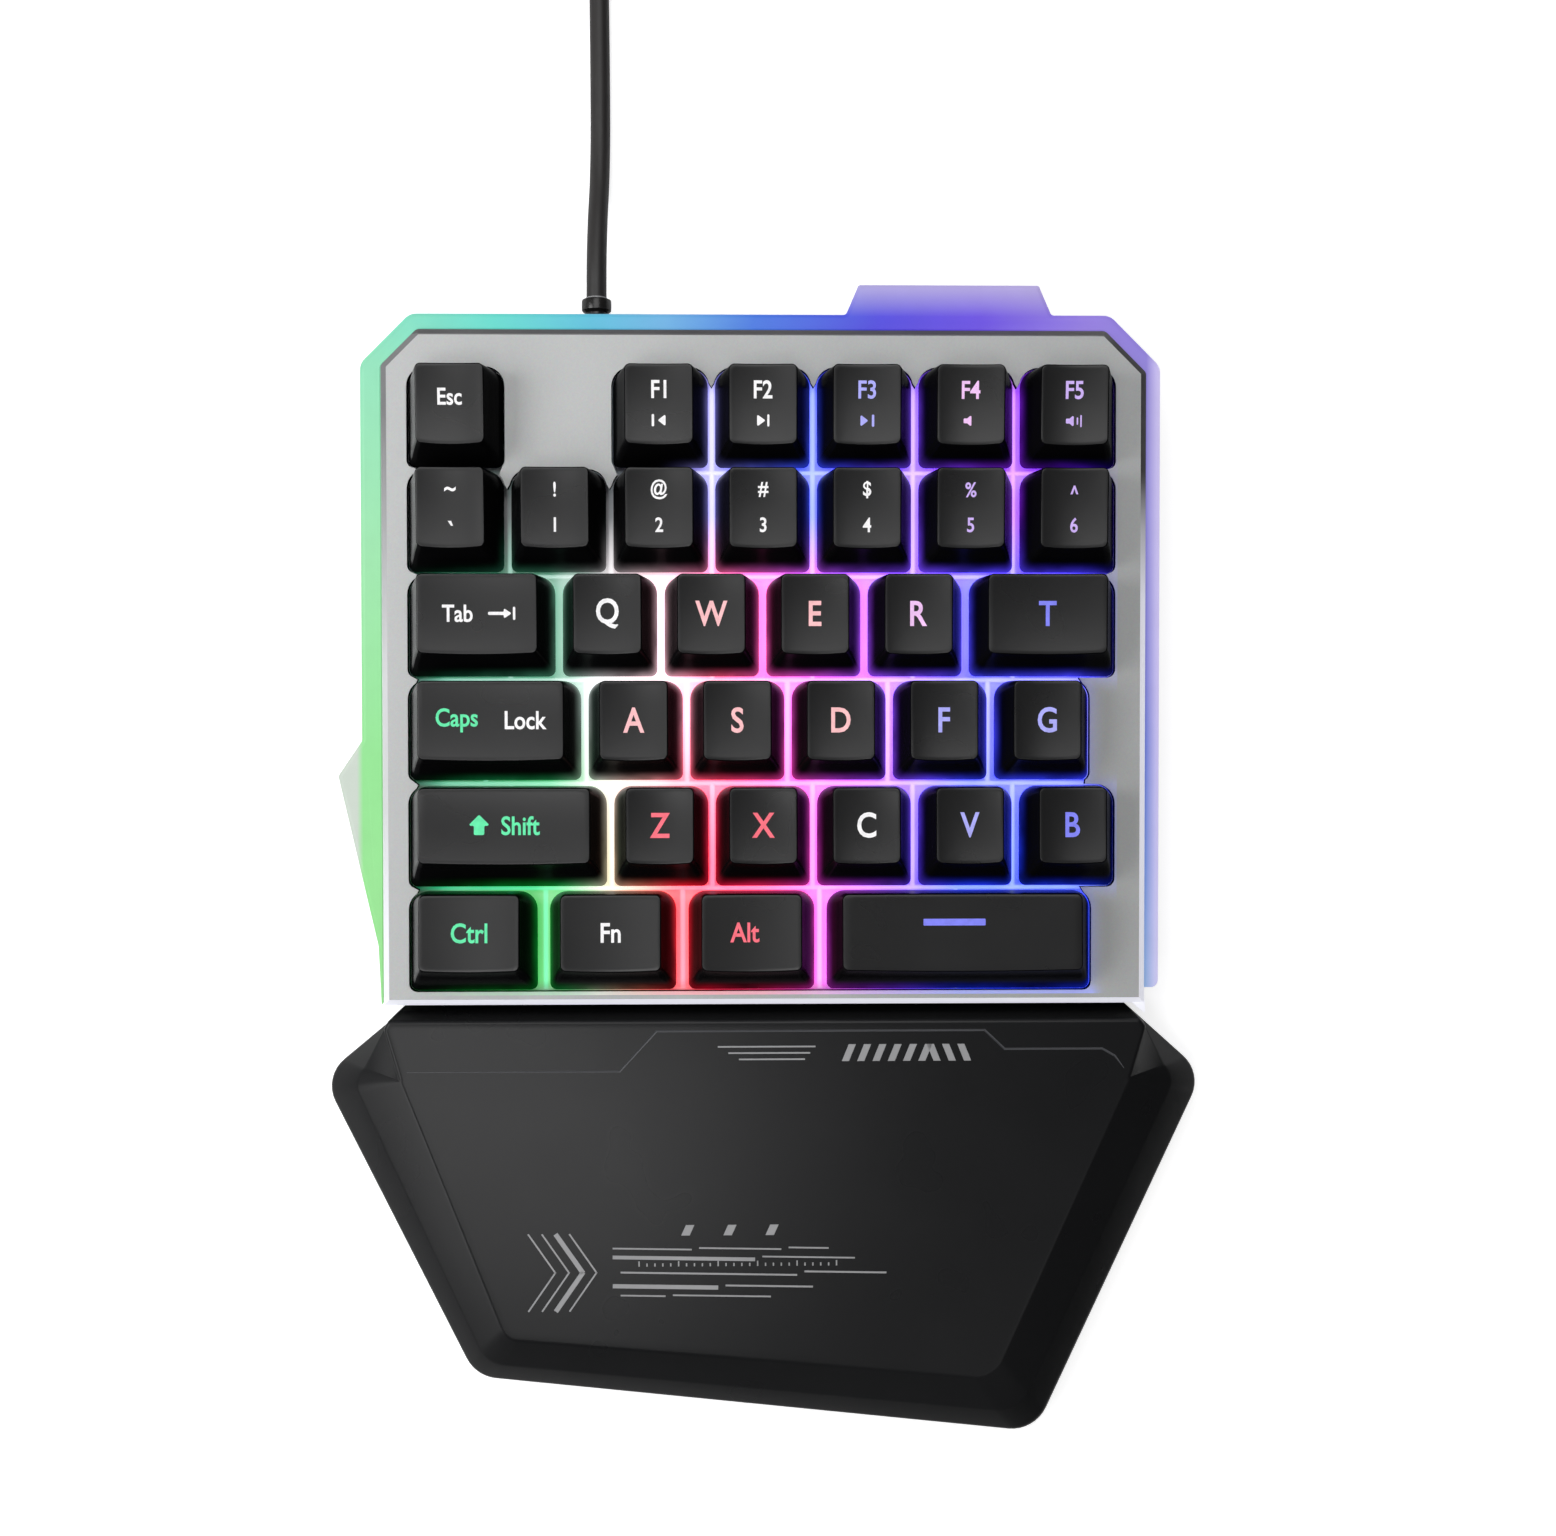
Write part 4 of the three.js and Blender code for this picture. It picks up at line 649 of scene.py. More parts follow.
def bevel_paint_and_painted_light(name, tint, dark, mm):
    """The bevel's polished paint with painted shade and painted light: darker to the rear and right as painted shade,
    with a painted glow at the front and sides.
    """
    material, tree, shader = new_finish(name)
    place = axes(tree, object_place(tree))

    def share(axis, start, end, high=1.0):
        return ranged(tree, place[axis], start * MM, end * MM, 0.0, high)

    rear = mm.cover_front + mm.cover_length + mm.rear_shift
    wear_and_painted_light = between(tree, speckle(tree, 0.012), 0.9, 1.0)
    # Painted shade: the bevel grows darker towards the rear, most at the rear edge and the rear right corner.
    corner = sums(tree, "MULTIPLY", share("Y", 56, 74), share("X", 50, 66))
    deep = sums(tree, "MAXIMUM", corner, share("Y", rear - 1.8, rear - 1.2, 0.9), share("Y", 35, 85, 0.75))
    deep = sums(tree, "MULTIPLY", deep, wear_and_painted_light)
    # Painted light: a pale glow painted on the bevel's lips at the front, the lower right and the left.
    right = sums(tree, "MULTIPLY", share("X", mm.right - 2.6, mm.right - 1.6), share("Y", 72, 50))
    left = sums(tree, "MULTIPLY", share("X", mm.left + 2.6, mm.left + 1.6), share("Y", 12, -14, 0.6))
    lit = sums(tree, "MAXIMUM", right, left, share("Y", mm.cover_front + 2.4, mm.cover_front + 1.4))
    set_shader(
        shader, Base_Color=mixed(tree, deep, tint, dark),
        Emission_Strength=sums(tree, "MULTIPLY", lit, between(tree, wear_and_painted_light, 0.3, 0.5)),
        Emission_Color=mixed(tree, wear_and_painted_light, (0.8, 0.82, 0.9), (0.86, 0.87, 1.0)),
        Roughness=between(tree, speckle(tree, 0.003), 0.3, 0.4), Specular_IOR_Level=0.3,
        Normal=bumped(tree, speckle(tree, 0.0004, 2.0), 0.000004))
    return material


def faded_edges(tree, mm, left, right, front, rear):
    """One over the key field, falling to nothing over the given millimetres inside each of its sides."""
    place = axes(tree, object_place(tree))
    front_y = mm.cover_front + mm.margin_front
    rear_y = mm.cover_front + mm.field_rear
    return sums(tree, "MINIMUM", *(
        ranged(tree, place[axis], start * MM, (start + reach) * MM) for axis, start, reach in (
            ("X", mm.field_left, left), ("X", mm.field_right, -right),
            ("Y", front_y, front), ("Y", rear_y, -rear))))


def beside_keys(tree, mm):
    """One at the keys, falling to nothing at the halo's width from them."""
    blocks = {}
    for key in all_keys(mm):
        block = blocks.setdefault((key.row, key.name == "esc"), [key.row, key.x, key.x])
        block[1:] = min(block[1], key.x - key.width / 2), max(block[2], key.x + key.width / 2)
    place = axes(tree, object_place(tree))

    def outside(axis, middle, half):
        return sums(tree, "SUBTRACT", away_from(tree, place[axis], middle), half * MM)

    nearest = sums(tree, "MINIMUM", *(
        sums(tree, "MAXIMUM", outside("X", (left + right) / 2, (right - left) / 2),
             outside("Y", mm.cover_front + mm.field_rear - (row + 0.5) * mm.pitch_y, mm.pitch_y / 2 - 0.4))
        for row, left, right in blocks.values()))
    return ranged(tree, nearest, mm.halo_width * MM, 0.0004)


def away_from(tree, value, middle):
    """Distance of a place in metres from one in millimetres."""
    offset = sums(tree, "SUBTRACT", value, middle * MM)
    return node(tree, "ShaderNodeMath", {0: offset}, operation="ABSOLUTE").outputs[0]


def mid_gap(tree, mm):
    """One along the middle of every gap between keys, falling to nothing towards the keys' feet."""
    place = axes(tree, object_place(tree))
    starts = {}
    for key in all_keys(mm):
        if key.row < 5 or key.name == "fn":
            starts[key.row] = key.x + (key.width + (mm.modifier_gap if key.row == 5 else mm.gap_x)) / 2
    away, seams = None, []
    for row, start in sorted(starts.items()):
        spacing = mm.modifier_width + mm.modifier_gap if row == 5 else mm.pitch_x
        line = sums(tree, "PINGPONG", sums(tree, "SUBTRACT", place["X"], start * MM), spacing / 2 * MM)
        if away is None:
            away = line
            continue
        (front_foot, _), (_, rear_foot) = ROW_FORMS[row - 1][2], ROW_FORMS[row][2]
        seam = mm.cover_front + mm.field_rear - (row - (front_foot + rear_foot) / 2) * mm.pitch_y
        away = mixed(tree, sums(tree, "LESS_THAN", place["Y"], seam * MM), away, line, "FLOAT")
        seams.append(away_from(tree, place["Y"], seam))
    return sums(tree, "MAXIMUM", ranged(tree, away, 0.0006, 0.00022),
                ranged(tree, sums(tree, "MINIMUM", *seams), 0.0005, 0.0002))


def lit_deck(name, mm):
    """White plastic over the lamps: pale along the middle of the gaps, with a deeper, darker colour beside the keys
    as painted shade.
    """
    material, tree, shader = new_finish(name)
    glow = lamp_glow(tree, mm)
    upward = axes(tree, node(tree, "ShaderNodeNewGeometry").outputs["Normal"])["Z"]
    lit = sums(tree, "MULTIPLY", faded_edges(tree, mm, 7, 9, 2.5, 5), sums(tree, "GREATER_THAN", upward, 0.9),
               between(tree, speckle(tree, 0.006), 1.05, 1.3))
    set_shader(
        # Painted shade: the glow's colour is deepened and darkened towards the keys' feet.
        shader, Emission_Color=mixed(tree, mid_gap(tree, mm), deepened(tree, glow, 2.4), glow),
        Emission_Strength=lit,
        Base_Color=mixed(tree, speckle(tree, 0.01), (0.7, 0.7, 0.72), (0.8, 0.8, 0.82)), Roughness=0.5,
        Normal=bumped(tree, speckle(tree, 0.0005), 0.00001))
    return material


def cap_skirt(name, tint, mm):
    """Gloss black plastic whose foot has a painted glow in the colour of the lamps below it."""
    material, tree, shader = new_finish(name)
    up = mm.face_frame().to_3x3() @ Vector((0, 0, 1))
    height = vectors(tree, "DOT_PRODUCT", object_place(tree), up)
    base = mm.face_frame().translation.dot(up)
    # Painted light: the skirt's foot glows in the lamps' colours, fading upwards.
    painted_foot_glow = sums(tree, "POWER", ranged(tree, height, (base + 3.4) * MM, (base - 0.9) * MM), 2.2)
    painted_foot_glow = sums(tree, "MULTIPLY", painted_foot_glow, faded_edges(tree, mm, 16, 7, 3, 8))
    patchy = sums(tree, "MAXIMUM", between(tree, speckle(tree, 0.009), -0.1, 0.6), 0.0)
    set_shader(
        shader, Emission_Color=deepened(tree, lamp_glow(tree, mm), 2.4),
        Emission_Strength=sums(tree, "MULTIPLY", painted_foot_glow, patchy),
        Base_Color=toned(tree, speckle(tree, 0.018, 2.0), tint, 0.8, 1.2), Roughness=0.22,
        Specular_IOR_Level=0.004,
        Normal=bumped(tree, speckle(tree, 0.0006, 2.0), 0.000003))
    return material


def lit_legend(name, tint):
    """A laser-cut legend, lit from below through the cap."""
    material, tree, shader = new_finish(name)
    patchy = speckle(tree, 0.0012, 3.0)
    set_shader(
        shader, Emission_Color=toned(tree, patchy, tint, 0.72, 1.1),
        Emission_Strength=between(tree, patchy, 0.75, 0.95),
        Base_Color=toned(tree, patchy, tint, 0.3, 0.4), Roughness=0.45)
    return material


def circuit_board(name, tint):
    """Green solder mask over fine tracks."""
    material, tree, shader = new_finish(name)
    tracks = node(tree, "ShaderNodeTexBrick", {
        "Vector": object_place(tree), "Scale": 160.0, "Mortar Size": 0.06, "Color1": (*tint, 1),
        "Color2": (*lighter(tint, 0.8), 1), "Mortar": (*lighter(tint, 1.9), 1)}).outputs
    set_shader(shader, Base_Color=tracks["Color"], Normal=bumped(tree, tracks["Fac"], 0.00003), Roughness=0.32)
    return material


def milky(name, tint, transmission, roughness):
    """Silicone or film that lets some light through."""
    material, tree, shader = new_finish(name)
    cloudy = speckle(tree, 0.009)
    set_shader(
        shader, Base_Color=toned(tree, cloudy, tint, 0.9, 1.08), Transmission_Weight=transmission,
        Roughness=between(tree, cloudy, roughness * 0.9, roughness * 1.1))
    return material


finishes = {}
LEGEND_TINTS = {
    "white": (0.86, 0.85, 0.86), "green": (0.1, 0.75, 0.36), "rose": (0.9, 0.48, 0.5), "red": (0.9, 0.14, 0.19),
    "lavender": (0.38, 0.38, 0.88), "indigo": (0.2, 0.21, 0.86), "mauve": (0.56, 0.4, 0.84),
    "pink": (0.82, 0.5, 0.84),
}


def make_finishes(mm, colours):
    """One material for each finish of the object."""
    for key, name, tint, share, *values, gloss in (
            # Finish, material, tint and its share, then roughness, grain, its depth, edge wear with a painted edge
            # highlight, and specular level
            # crease: a darker copy of the plate's paint, painted shade along the top of the front bevel
            ("crease", "crease_paint", "plate", 0.35, 0.5, 0.0004, 0.000004, 1.0, 0.5),
            # throat: near-black, painted shade on the opening's wall
            ("throat", "opening_paint", "rubber", 1, 0.8, 0.0006, 0.000004, 1.0, 0.05),
            ("cap_top", "cap_top_plastic", "cap_top", 1, 0.28, 0.0003, 0.000005, 1.3, 0.5),
            ("cap_end", "cap_end_plastic", "cap_side", 1, 0.25, 0.0006, 0.000003, 1.2, 0.3),
            ("palm", "palm_plastic", "palm", 1, 0.28, 0.0004, 0.000006, 1.6, 0.26),
            # groove: the palm's plastic made lighter, a painted highlight along the grooves
            ("groove", "groove_plastic", "palm", 8, 0.5, 0.0004, 0.000008, 1.0, 0.5),
            ("shell", "shell_plastic", "shell", 1, 0.55, 0.0005, 0.00004, 1.5, 0.4),
            ("rubber", "pad_rubber", "rubber", 1, 0.8, 0.0007, 0.00006, 1.2, 0.3),
            ("relief", "relief_rubber", "lead", 0.6, 0.26, 0.0006, 0.000008, 1.4, 0.5),
            ("tongue", "tongue_plastic", "shell", 1, 0.4, 0.0006, 0.00002, 1.2, 0.5),
            ("printed", "line_print", "print_grey", 1, 0.5, 0.0008, 0.000004, 1.0, 0.5)):
        finishes[key] = moulded(name, lighter(getattr(colours, tint), share), *values, Specular_IOR_Level=gloss)
    finishes.update(
        plate=painted_plate("plate_paint", colours.plate, mm),
        plate_edge=bevel_paint_and_painted_light("plate_edge_paint", colours.plate_edge, colours.plate_edge_painted_shade, mm),
        cap_side=cap_skirt("cap_side_plastic", colours.cap_side, mm),
        strip=lit_acrylic("strip_acrylic", mm),
        deck=lit_deck("deck_plastic", mm),
        dome=milky("dome_silicone", colours.silicone, 0.3, 0.5),
        film=milky("membrane_film", (0.7, 0.74, 0.68), 0.6, 0.3),
        board=circuit_board("board_mask", colours.board),
        steel=plated("plated_steel", colours.steel, 0.24),
        gold=plated("gold_plating", colours.gold, 0.3),
        lead=vinyl("lead_vinyl", colours.lead),
    )
    for name, tint in LEGEND_TINTS.items():
        finishes["legend_" + name] = lit_legend("legend_" + name, tint)


# Keys


class Key:
    """Place and form of one key, in millimetres on the key plate."""

    def __init__(self, mm, name, row, left, right):
        rise, tilt, foot, top = ROW_FORMS[row]
        self.name, self.row = name, row
        self.width, self.x = right - left, (left + right) / 2
        self.depth = (foot[1] - foot[0]) * mm.pitch_y
        self.y = mm.field_rear - (row + 0.5 - (foot[0] + foot[1]) / 2) * mm.pitch_y
        self.rise, self.tilt = mm.cap_rise * rise, math.tan(math.radians(tilt))
        self.top_width = self.width - (mm.pitch_x - mm.gap_x - mm.cap_top_width)
        self.top_depth = (top[1] - top[0]) * mm.pitch_y
        self.shift = (top[0] + top[1] - foot[0] - foot[1]) / 2 * mm.pitch_y
        self.dish, self.hollow = mm.cap_dish, mm.front_hollow if row == 5 else mm.cap_hollow

    def height(self, x, y):
        """Height of the top over a point that is measured from the key's middle."""
        y -= self.shift
        across, along = 2 * x / self.top_width, 2 * y / self.top_depth
        return self.rise + y * self.tilt + self.dish * (across ** 2 - 1) + self.hollow * along ** 2

    def place(self, mm):
        """Places the key's middle on the desk."""
        return mm.face_frame() @ Matrix.Translation((self.x, self.y, 0))


def all_keys(mm):
    keys = []
    for row, listed in enumerate(KEY_ROWS):
        for name, start, share in listed:
            left = mm.field_left + start * mm.pitch_x + mm.gap_x / 2
            keys.append(Key(mm, name, row, left, left + share * mm.pitch_x - mm.gap_x))
    left = mm.field_left + mm.gap_x / 2
    for name in ("ctrl", "fn", "alt"):
        keys.append(Key(mm, name, 5, left, left + mm.modifier_width))
        left += mm.modifier_width + mm.modifier_gap
    keys.append(Key(mm, "space", 5, left, mm.field_right - mm.space_inset))
    return keys


# Camera, lead, coil and plug


class KEYPAD_OT_camera(PieceMaker, bpy.types.Operator):
    """Place the camera above the key plate"""

    bl_idname = "keypad.camera"
    bl_label = "Camera"

    def build(self, mm):
        tilt, swing, roll = 0.02663, 0.02226, -0.00199
        distance, focal_pixels, image_pixels = 405.5, 2150, 1556
        aim = Vector((2.43, 18.45, 19.4))
        ahead = Vector((
            math.sin(swing) * math.cos(tilt), math.sin(tilt), -math.cos(tilt) * math.cos(swing))).normalized()
        right = ahead.cross(Vector((0, 1, 0))).normalized()
        turned = Matrix((right, right.cross(ahead), -ahead)).transposed().to_4x4() @ Matrix.Rotation(roll, 4, "Z")
        data = bpy.data.cameras.new("camera")
        data.sensor_width = 36
        data.lens = data.sensor_width * focal_pixels / image_pixels
        camera = bpy.data.objects.new("camera", data)
        camera.matrix_world = Matrix.Translation((aim - distance * ahead) * MM) @ turned
        scene = bpy.context.scene
        scene.collection.objects.link(camera)
        scene.camera = camera


class LeadRoute:
    """The lead's way along the desk, in millimetres, as the solids have it."""

    def __init__(self, mm):
        self.x = -32.5
        self.exit_height = 7.4
        shell_rear = mm.cover_length + 0.4
        self.wall_y = mm.cover_front + shell_rear * math.cos(SLOPE) + mm.strip_depth * math.sin(SLOPE)
        self.relief_reach = 10.5
        self.start_y = self.wall_y + self.relief_reach + mm.seat_gap
        self.z = mm.lead_diameter / 2 + 0.1
        self.turns = 2.1875
        self.layers = 4
        self.middle, self.pitch, self.diameter = mm.coil_middle, mm.coil_pitch, mm.lead_diameter
        self.outer = self.middle + self.turns * self.pitch / 2
        self.inner = self.middle - self.turns * self.pitch / 2
        self.centre = Vector((self.x + self.outer, 207, 0))
        self.gap = mm.seat_gap
        self.tail_run = 44
        self.plug_z = 4.1

    def coil_point(self, turn):
        """Four layers of spiral, joined by half turns that climb."""
        stage = self.turns + 0.5
        layer = min(self.layers - 1, int(turn / stage))
        within = turn - layer * stage
        inward = layer % 2 == 0
        radius = self.outer - within * self.pitch if inward else self.inner + within * self.pitch
        level = layer
        if within > self.turns:
            climb = (within - self.turns) / 0.5
            bow = 0.7 * math.sin(math.pi * climb)
            radius = self.inner - bow if inward else self.outer + bow
            level += climb
        angle = math.pi - turn * math.tau
        return self.centre + Vector((
            radius * math.cos(angle), radius * math.sin(angle), self.z + level * self.pitch))

    def line(self):
        x, z = self.x, self.z
        lead = curve_through([
            (x, self.start_y - self.gap, self.exit_height), (x, self.start_y + 6, self.exit_height - 0.2),
            (x + 0.1, 126, 5.7), (x + 0.3, 134, 3.2), (x + 0.4, 142, z + 0.1), (x + 0.4, 150, z),
            (x + 0.3, 162, z), (x + 0.1, 178, z), (x, 191, z), (x, self.centre.y - self.diameter, z),
        ], 5)
        total = self.layers * self.turns + (self.layers - 1) / 2
        steps_per_turn = 40
        count = round(total * steps_per_turn)
        coil = [self.coil_point(i / count * total) for i in range(count + 1)]
        end = coil[-1] + Vector((self.diameter, 0, 0))
        start = end.x + self.gap
        shares = ((0, 1), (0.08, 0.995), (0.25, 0.9), (0.45, 0.55), (0.64, 0.2), (0.82, 0.03), (0.93, 0), (1, 0))
        tail = curve_through([
            (start + along * self.tail_run, end.y, self.plug_z + high * (end.z - self.plug_z))
            for along, high in shares], 5)
        self.plug_start = Vector((start + self.tail_run + self.gap, end.y, self.plug_z))
        return [*lead, *coil, *tail, self.plug_start.copy()]


class KEYPAD_OT_lead(PieceMaker, bpy.types.Operator):
    """Make the lead, its coil and its tie in one run from the strain relief to the plug"""

    bl_idname = "keypad.lead"
    bl_label = "Lead"

    def build(self, mm):
        route = LeadRoute(mm)
        line = route.line()
        skin = Skin()
        skin.tube(line, mm.lead_diameter / 2, 16)
        lead = settle(skin.object("lead", [finishes["lead"]]), slot="lead",
                      nodes=("cord_lead", "cord_coil", "cord_tail"))

        # The tie goes once round all the turns of the coil
        skin = Skin()
        slack, width, thickness = 0.5, 6.0, 0.7
        reach = (route.outer - route.inner) / 2 + mm.lead_diameter / 2 + slack
        top = route.z + 3 * route.pitch + mm.lead_diameter / 2 + slack
        loop = box_outline(-reach - 0.2, reach + 0.2, 0.72, top, 3.0)
        outer = rounded(inset(loop, -thickness))
        inner = rounded(loop)
        edges = []
        for side in (-width / 2, width / 2):
            edges.append([skin.ring([(p.x, side, p.y) for p in outline]) for outline in (outer, inner)])
        skin.strip(edges[0][0], edges[1][0])
        skin.strip(edges[0][1], edges[1][1])
        for side in edges:
            skin.strip(side[0], side[1])
        knot = box_outline(-2.2, 2.2, -width / 2 - 0.4, width / 2 + 0.4, 0.8)
        skin.block(knot, top + thickness - 0.3, top + thickness + 0.9)
        angle = math.radians(55)
        place = (Matrix.Translation(route.centre) @ Matrix.Rotation(angle, 4, "Z")
                 @ Matrix.Translation((route.middle, 0, 0)))
        tie = settle(skin.object("coil_tie", [finishes["relief"]], place), slot="rubber")
        path = [tuple(p * MM) for p in line]
        run = sum((b - a).length for a, b in zip(line, line[1:])) * MM
        mm.lead_diameter * MM
        [bpy.data.objects[name] for name in PLUG_PIECES]


# Key plate and light strip


def cover_corners(mm, radius):
    left, right, rear = mm.left, mm.right, mm.cover_length + mm.rear_shift
    return [
        ((left, 0), 0), ((right, 0), 0), ((right, rear - mm.cover_cut_right), radius),
        ((right - mm.cover_cut_right, rear), radius), ((left + mm.cover_cut_left, rear), radius),
        ((left, rear - mm.cover_cut_left), radius)]


def opening_outline(mm, keys):
    """The hole that the keys stand in. It follows the ends of their rows, with teeth between the corners."""
    named = {key.name: key for key in keys}
    gap = mm.opening_gap
    line = []

    def arc(name, sx, sy, start, end):
        key = named[name]
        radius = mm.cap_rear_radius if sy > 0 else mm.cap_front_radius
        centre = Vector((key.x + sx * (key.width / 2 - radius), key.y + sy * (key.depth / 2 - radius)))
        steps = 2 + abs(end - start) // 15
        for k in range(steps + 1):
            angle = math.radians(start + (end - start) * k / steps)
            line.append(centre + (radius + gap) * Vector((math.cos(angle), math.sin(angle))))

    def tip(name, sx, sy, x, y):
        key = named[name]
        line.append(Vector((key.x + sx * (key.width / 2 + x), key.y + sy * (key.depth / 2 + y))))

    def side_tooth(low, high, sx):
        """A tooth between the ends of two rows."""
        arc(*((low, 1, 1, 0, 55) if sx > 0 else (high, -1, -1, 180, 230)))
        tip(low, sx, 1, -1.6, gap + 0.02)
        arc(*((high, 1, -1, -50, 0) if sx > 0 else (low, -1, 1, 125, 180)))

    def rear_tooth(right, left, start=90, end=90):
        arc(right, -1, 1, start, 168)
        tip(right, -1, 1, mm.gap_x / 2, -3.5)
        arc(left, 1, 1, 12, end)

    def step(name, sy, inner, back):
        """A corner beside a key, short of the right side of one that ends further left."""
        key, stop = named[name], named[inner]
        tip(name, 1, sy, stop.x + stop.width / 2 - back - key.x - key.width / 2, gap)

    arc("ctrl", -1, -1, 180, 270)
    arc("space", 1, -1, 270, 360)
    arc("space", 1, 1, 0, 50)
    step("b", -1, "space", 1.8)
    arc("b", 1, -1, 270, 360)
    arc("b", 1, 1, 0, 90)
    step("b", 1, "g", 0.6)
    arc("g", 1, -1, 300, 360)
    arc("g", 1, 1, 0, 50)
    step("t", -1, "g", 1.8)
    arc("t", 1, -1, 270, 360)
    side_tooth("t", "6", 1)
    side_tooth("6", "f5", 1)
    arc("f5", 1, 1, 0, 90)
    for right, left in (("f5", "f4"), ("f4", "f3"), ("f3", "f2"), ("f2", "f1")):
        rear_tooth(right, left)
    arc("f1", -1, 1, 90, 180)
    arc("f1", -1, -1, 180, 220)
    rear_tooth("2", "1", 135)
    rear_tooth("1", "grave", end=45)
    arc("esc", 1, -1, -40, 0)
    arc("esc", 1, 1, 0, 90)
    arc("esc", -1, 1, 90, 180)
    for low, high in (("grave", "esc"), ("tab", "grave"), ("caps", "tab"), ("shift", "caps"), ("ctrl", "shift")):
        side_tooth(low, high, -1)
    return [(point, 0) for point in line]


class KEYPAD_OT_key_plate(PieceMaker, bpy.types.Operator):
    """Make the grey key plate with its bevels and the stepped opening"""

    bl_idname = "keypad.key_plate"
    bl_label = "Key Plate"

    def build(self, mm):
        bevel, edge, trim = mm.cover_bevel, 0.12, 0.15
        skin = Skin()
        outline = cover_corners(mm, 1.5)
        bends = [((0, -mm.cover_depth), 0), ((0, -bevel - 1.2), 0.2), ((trim, -bevel), 0.25), ((bevel, 0), 0.35),
                 ((bevel + 0.05, 0), 0)]
        foot, face = skin.walls(outline, rounded(bends, 4, closed=False))
        # The top of the front bevel takes the crease finish, a painted shade line; the rest of the bevel takes the
        # bevel finish with its painted shade and painted light.
        for edge_face in skin.bm.faces:
            low = min(vert.co.z for vert in edge_face.verts)
            if low < -0.001 and low > -bevel - 0.3:
                in_front = max(vert.co.y for vert in edge_face.verts) < bevel + 0.2
                edge_face.material_index = 2 if low > -0.2 and in_front else 1
        hole = opening_outline(mm, all_keys(mm))
        bends = [((-edge, 0), 0), ((0, 0), edge), ((0, -edge), 0)]
        rim = skin.walls(hole, rounded(bends, 5, closed=False))[0]
        # The opening's wall takes the throat finish: near-black painted shade.
        under = skin.walls(hole, [(0, -edge), (0, -mm.cover_face)], finish=3)[1]
        skin.fill(face, rim)
        well_top, well_foot = skin.walls(
            outline, [(mm.cover_wall, -mm.cover_face), (mm.cover_wall, -mm.cover_depth)])
        skin.fill(well_top, under)
        skin.strip(foot, well_foot)
        # Small ears beside the palm rest's cut corners
        for x, side, reach in ((mm.left, 1, 2.5), (mm.right, -1, 1.9)):
            ear = [((x, 0.6), 0), ((x, -reach), 0), ((x + side * (reach + 0.2), -0.05), 0),
                   ((x + side * 2.9, 0.6), 0)]
            skin.block(ear[::side], -bevel - 1.4, -bevel + 0.1, finish=1)
        plate = skin.object(
            "key_plate", [finishes[name] for name in ("plate", "plate_edge", "crease", "throat")],
            mm.face_frame())
        settle(plate, slot="plate", nodes=("top_cover",))


def nearest_share(line, point):
    """How far along a polyline a point lies, from 0 to 1."""
    total = sum((b - a).length for a, b in zip(line, line[1:]))
    best, done = None, 0
    for a, b in zip(line, line[1:]):
        edge = b - a
        share = min(1, max(0, (point - a).dot(edge) / edge.length_squared))
        away = (point - a - share * edge).length
        if best is None or away < best[0]:
            best = (away, (done + share * edge.length) / total)
        done += edge.length
    return best[1]


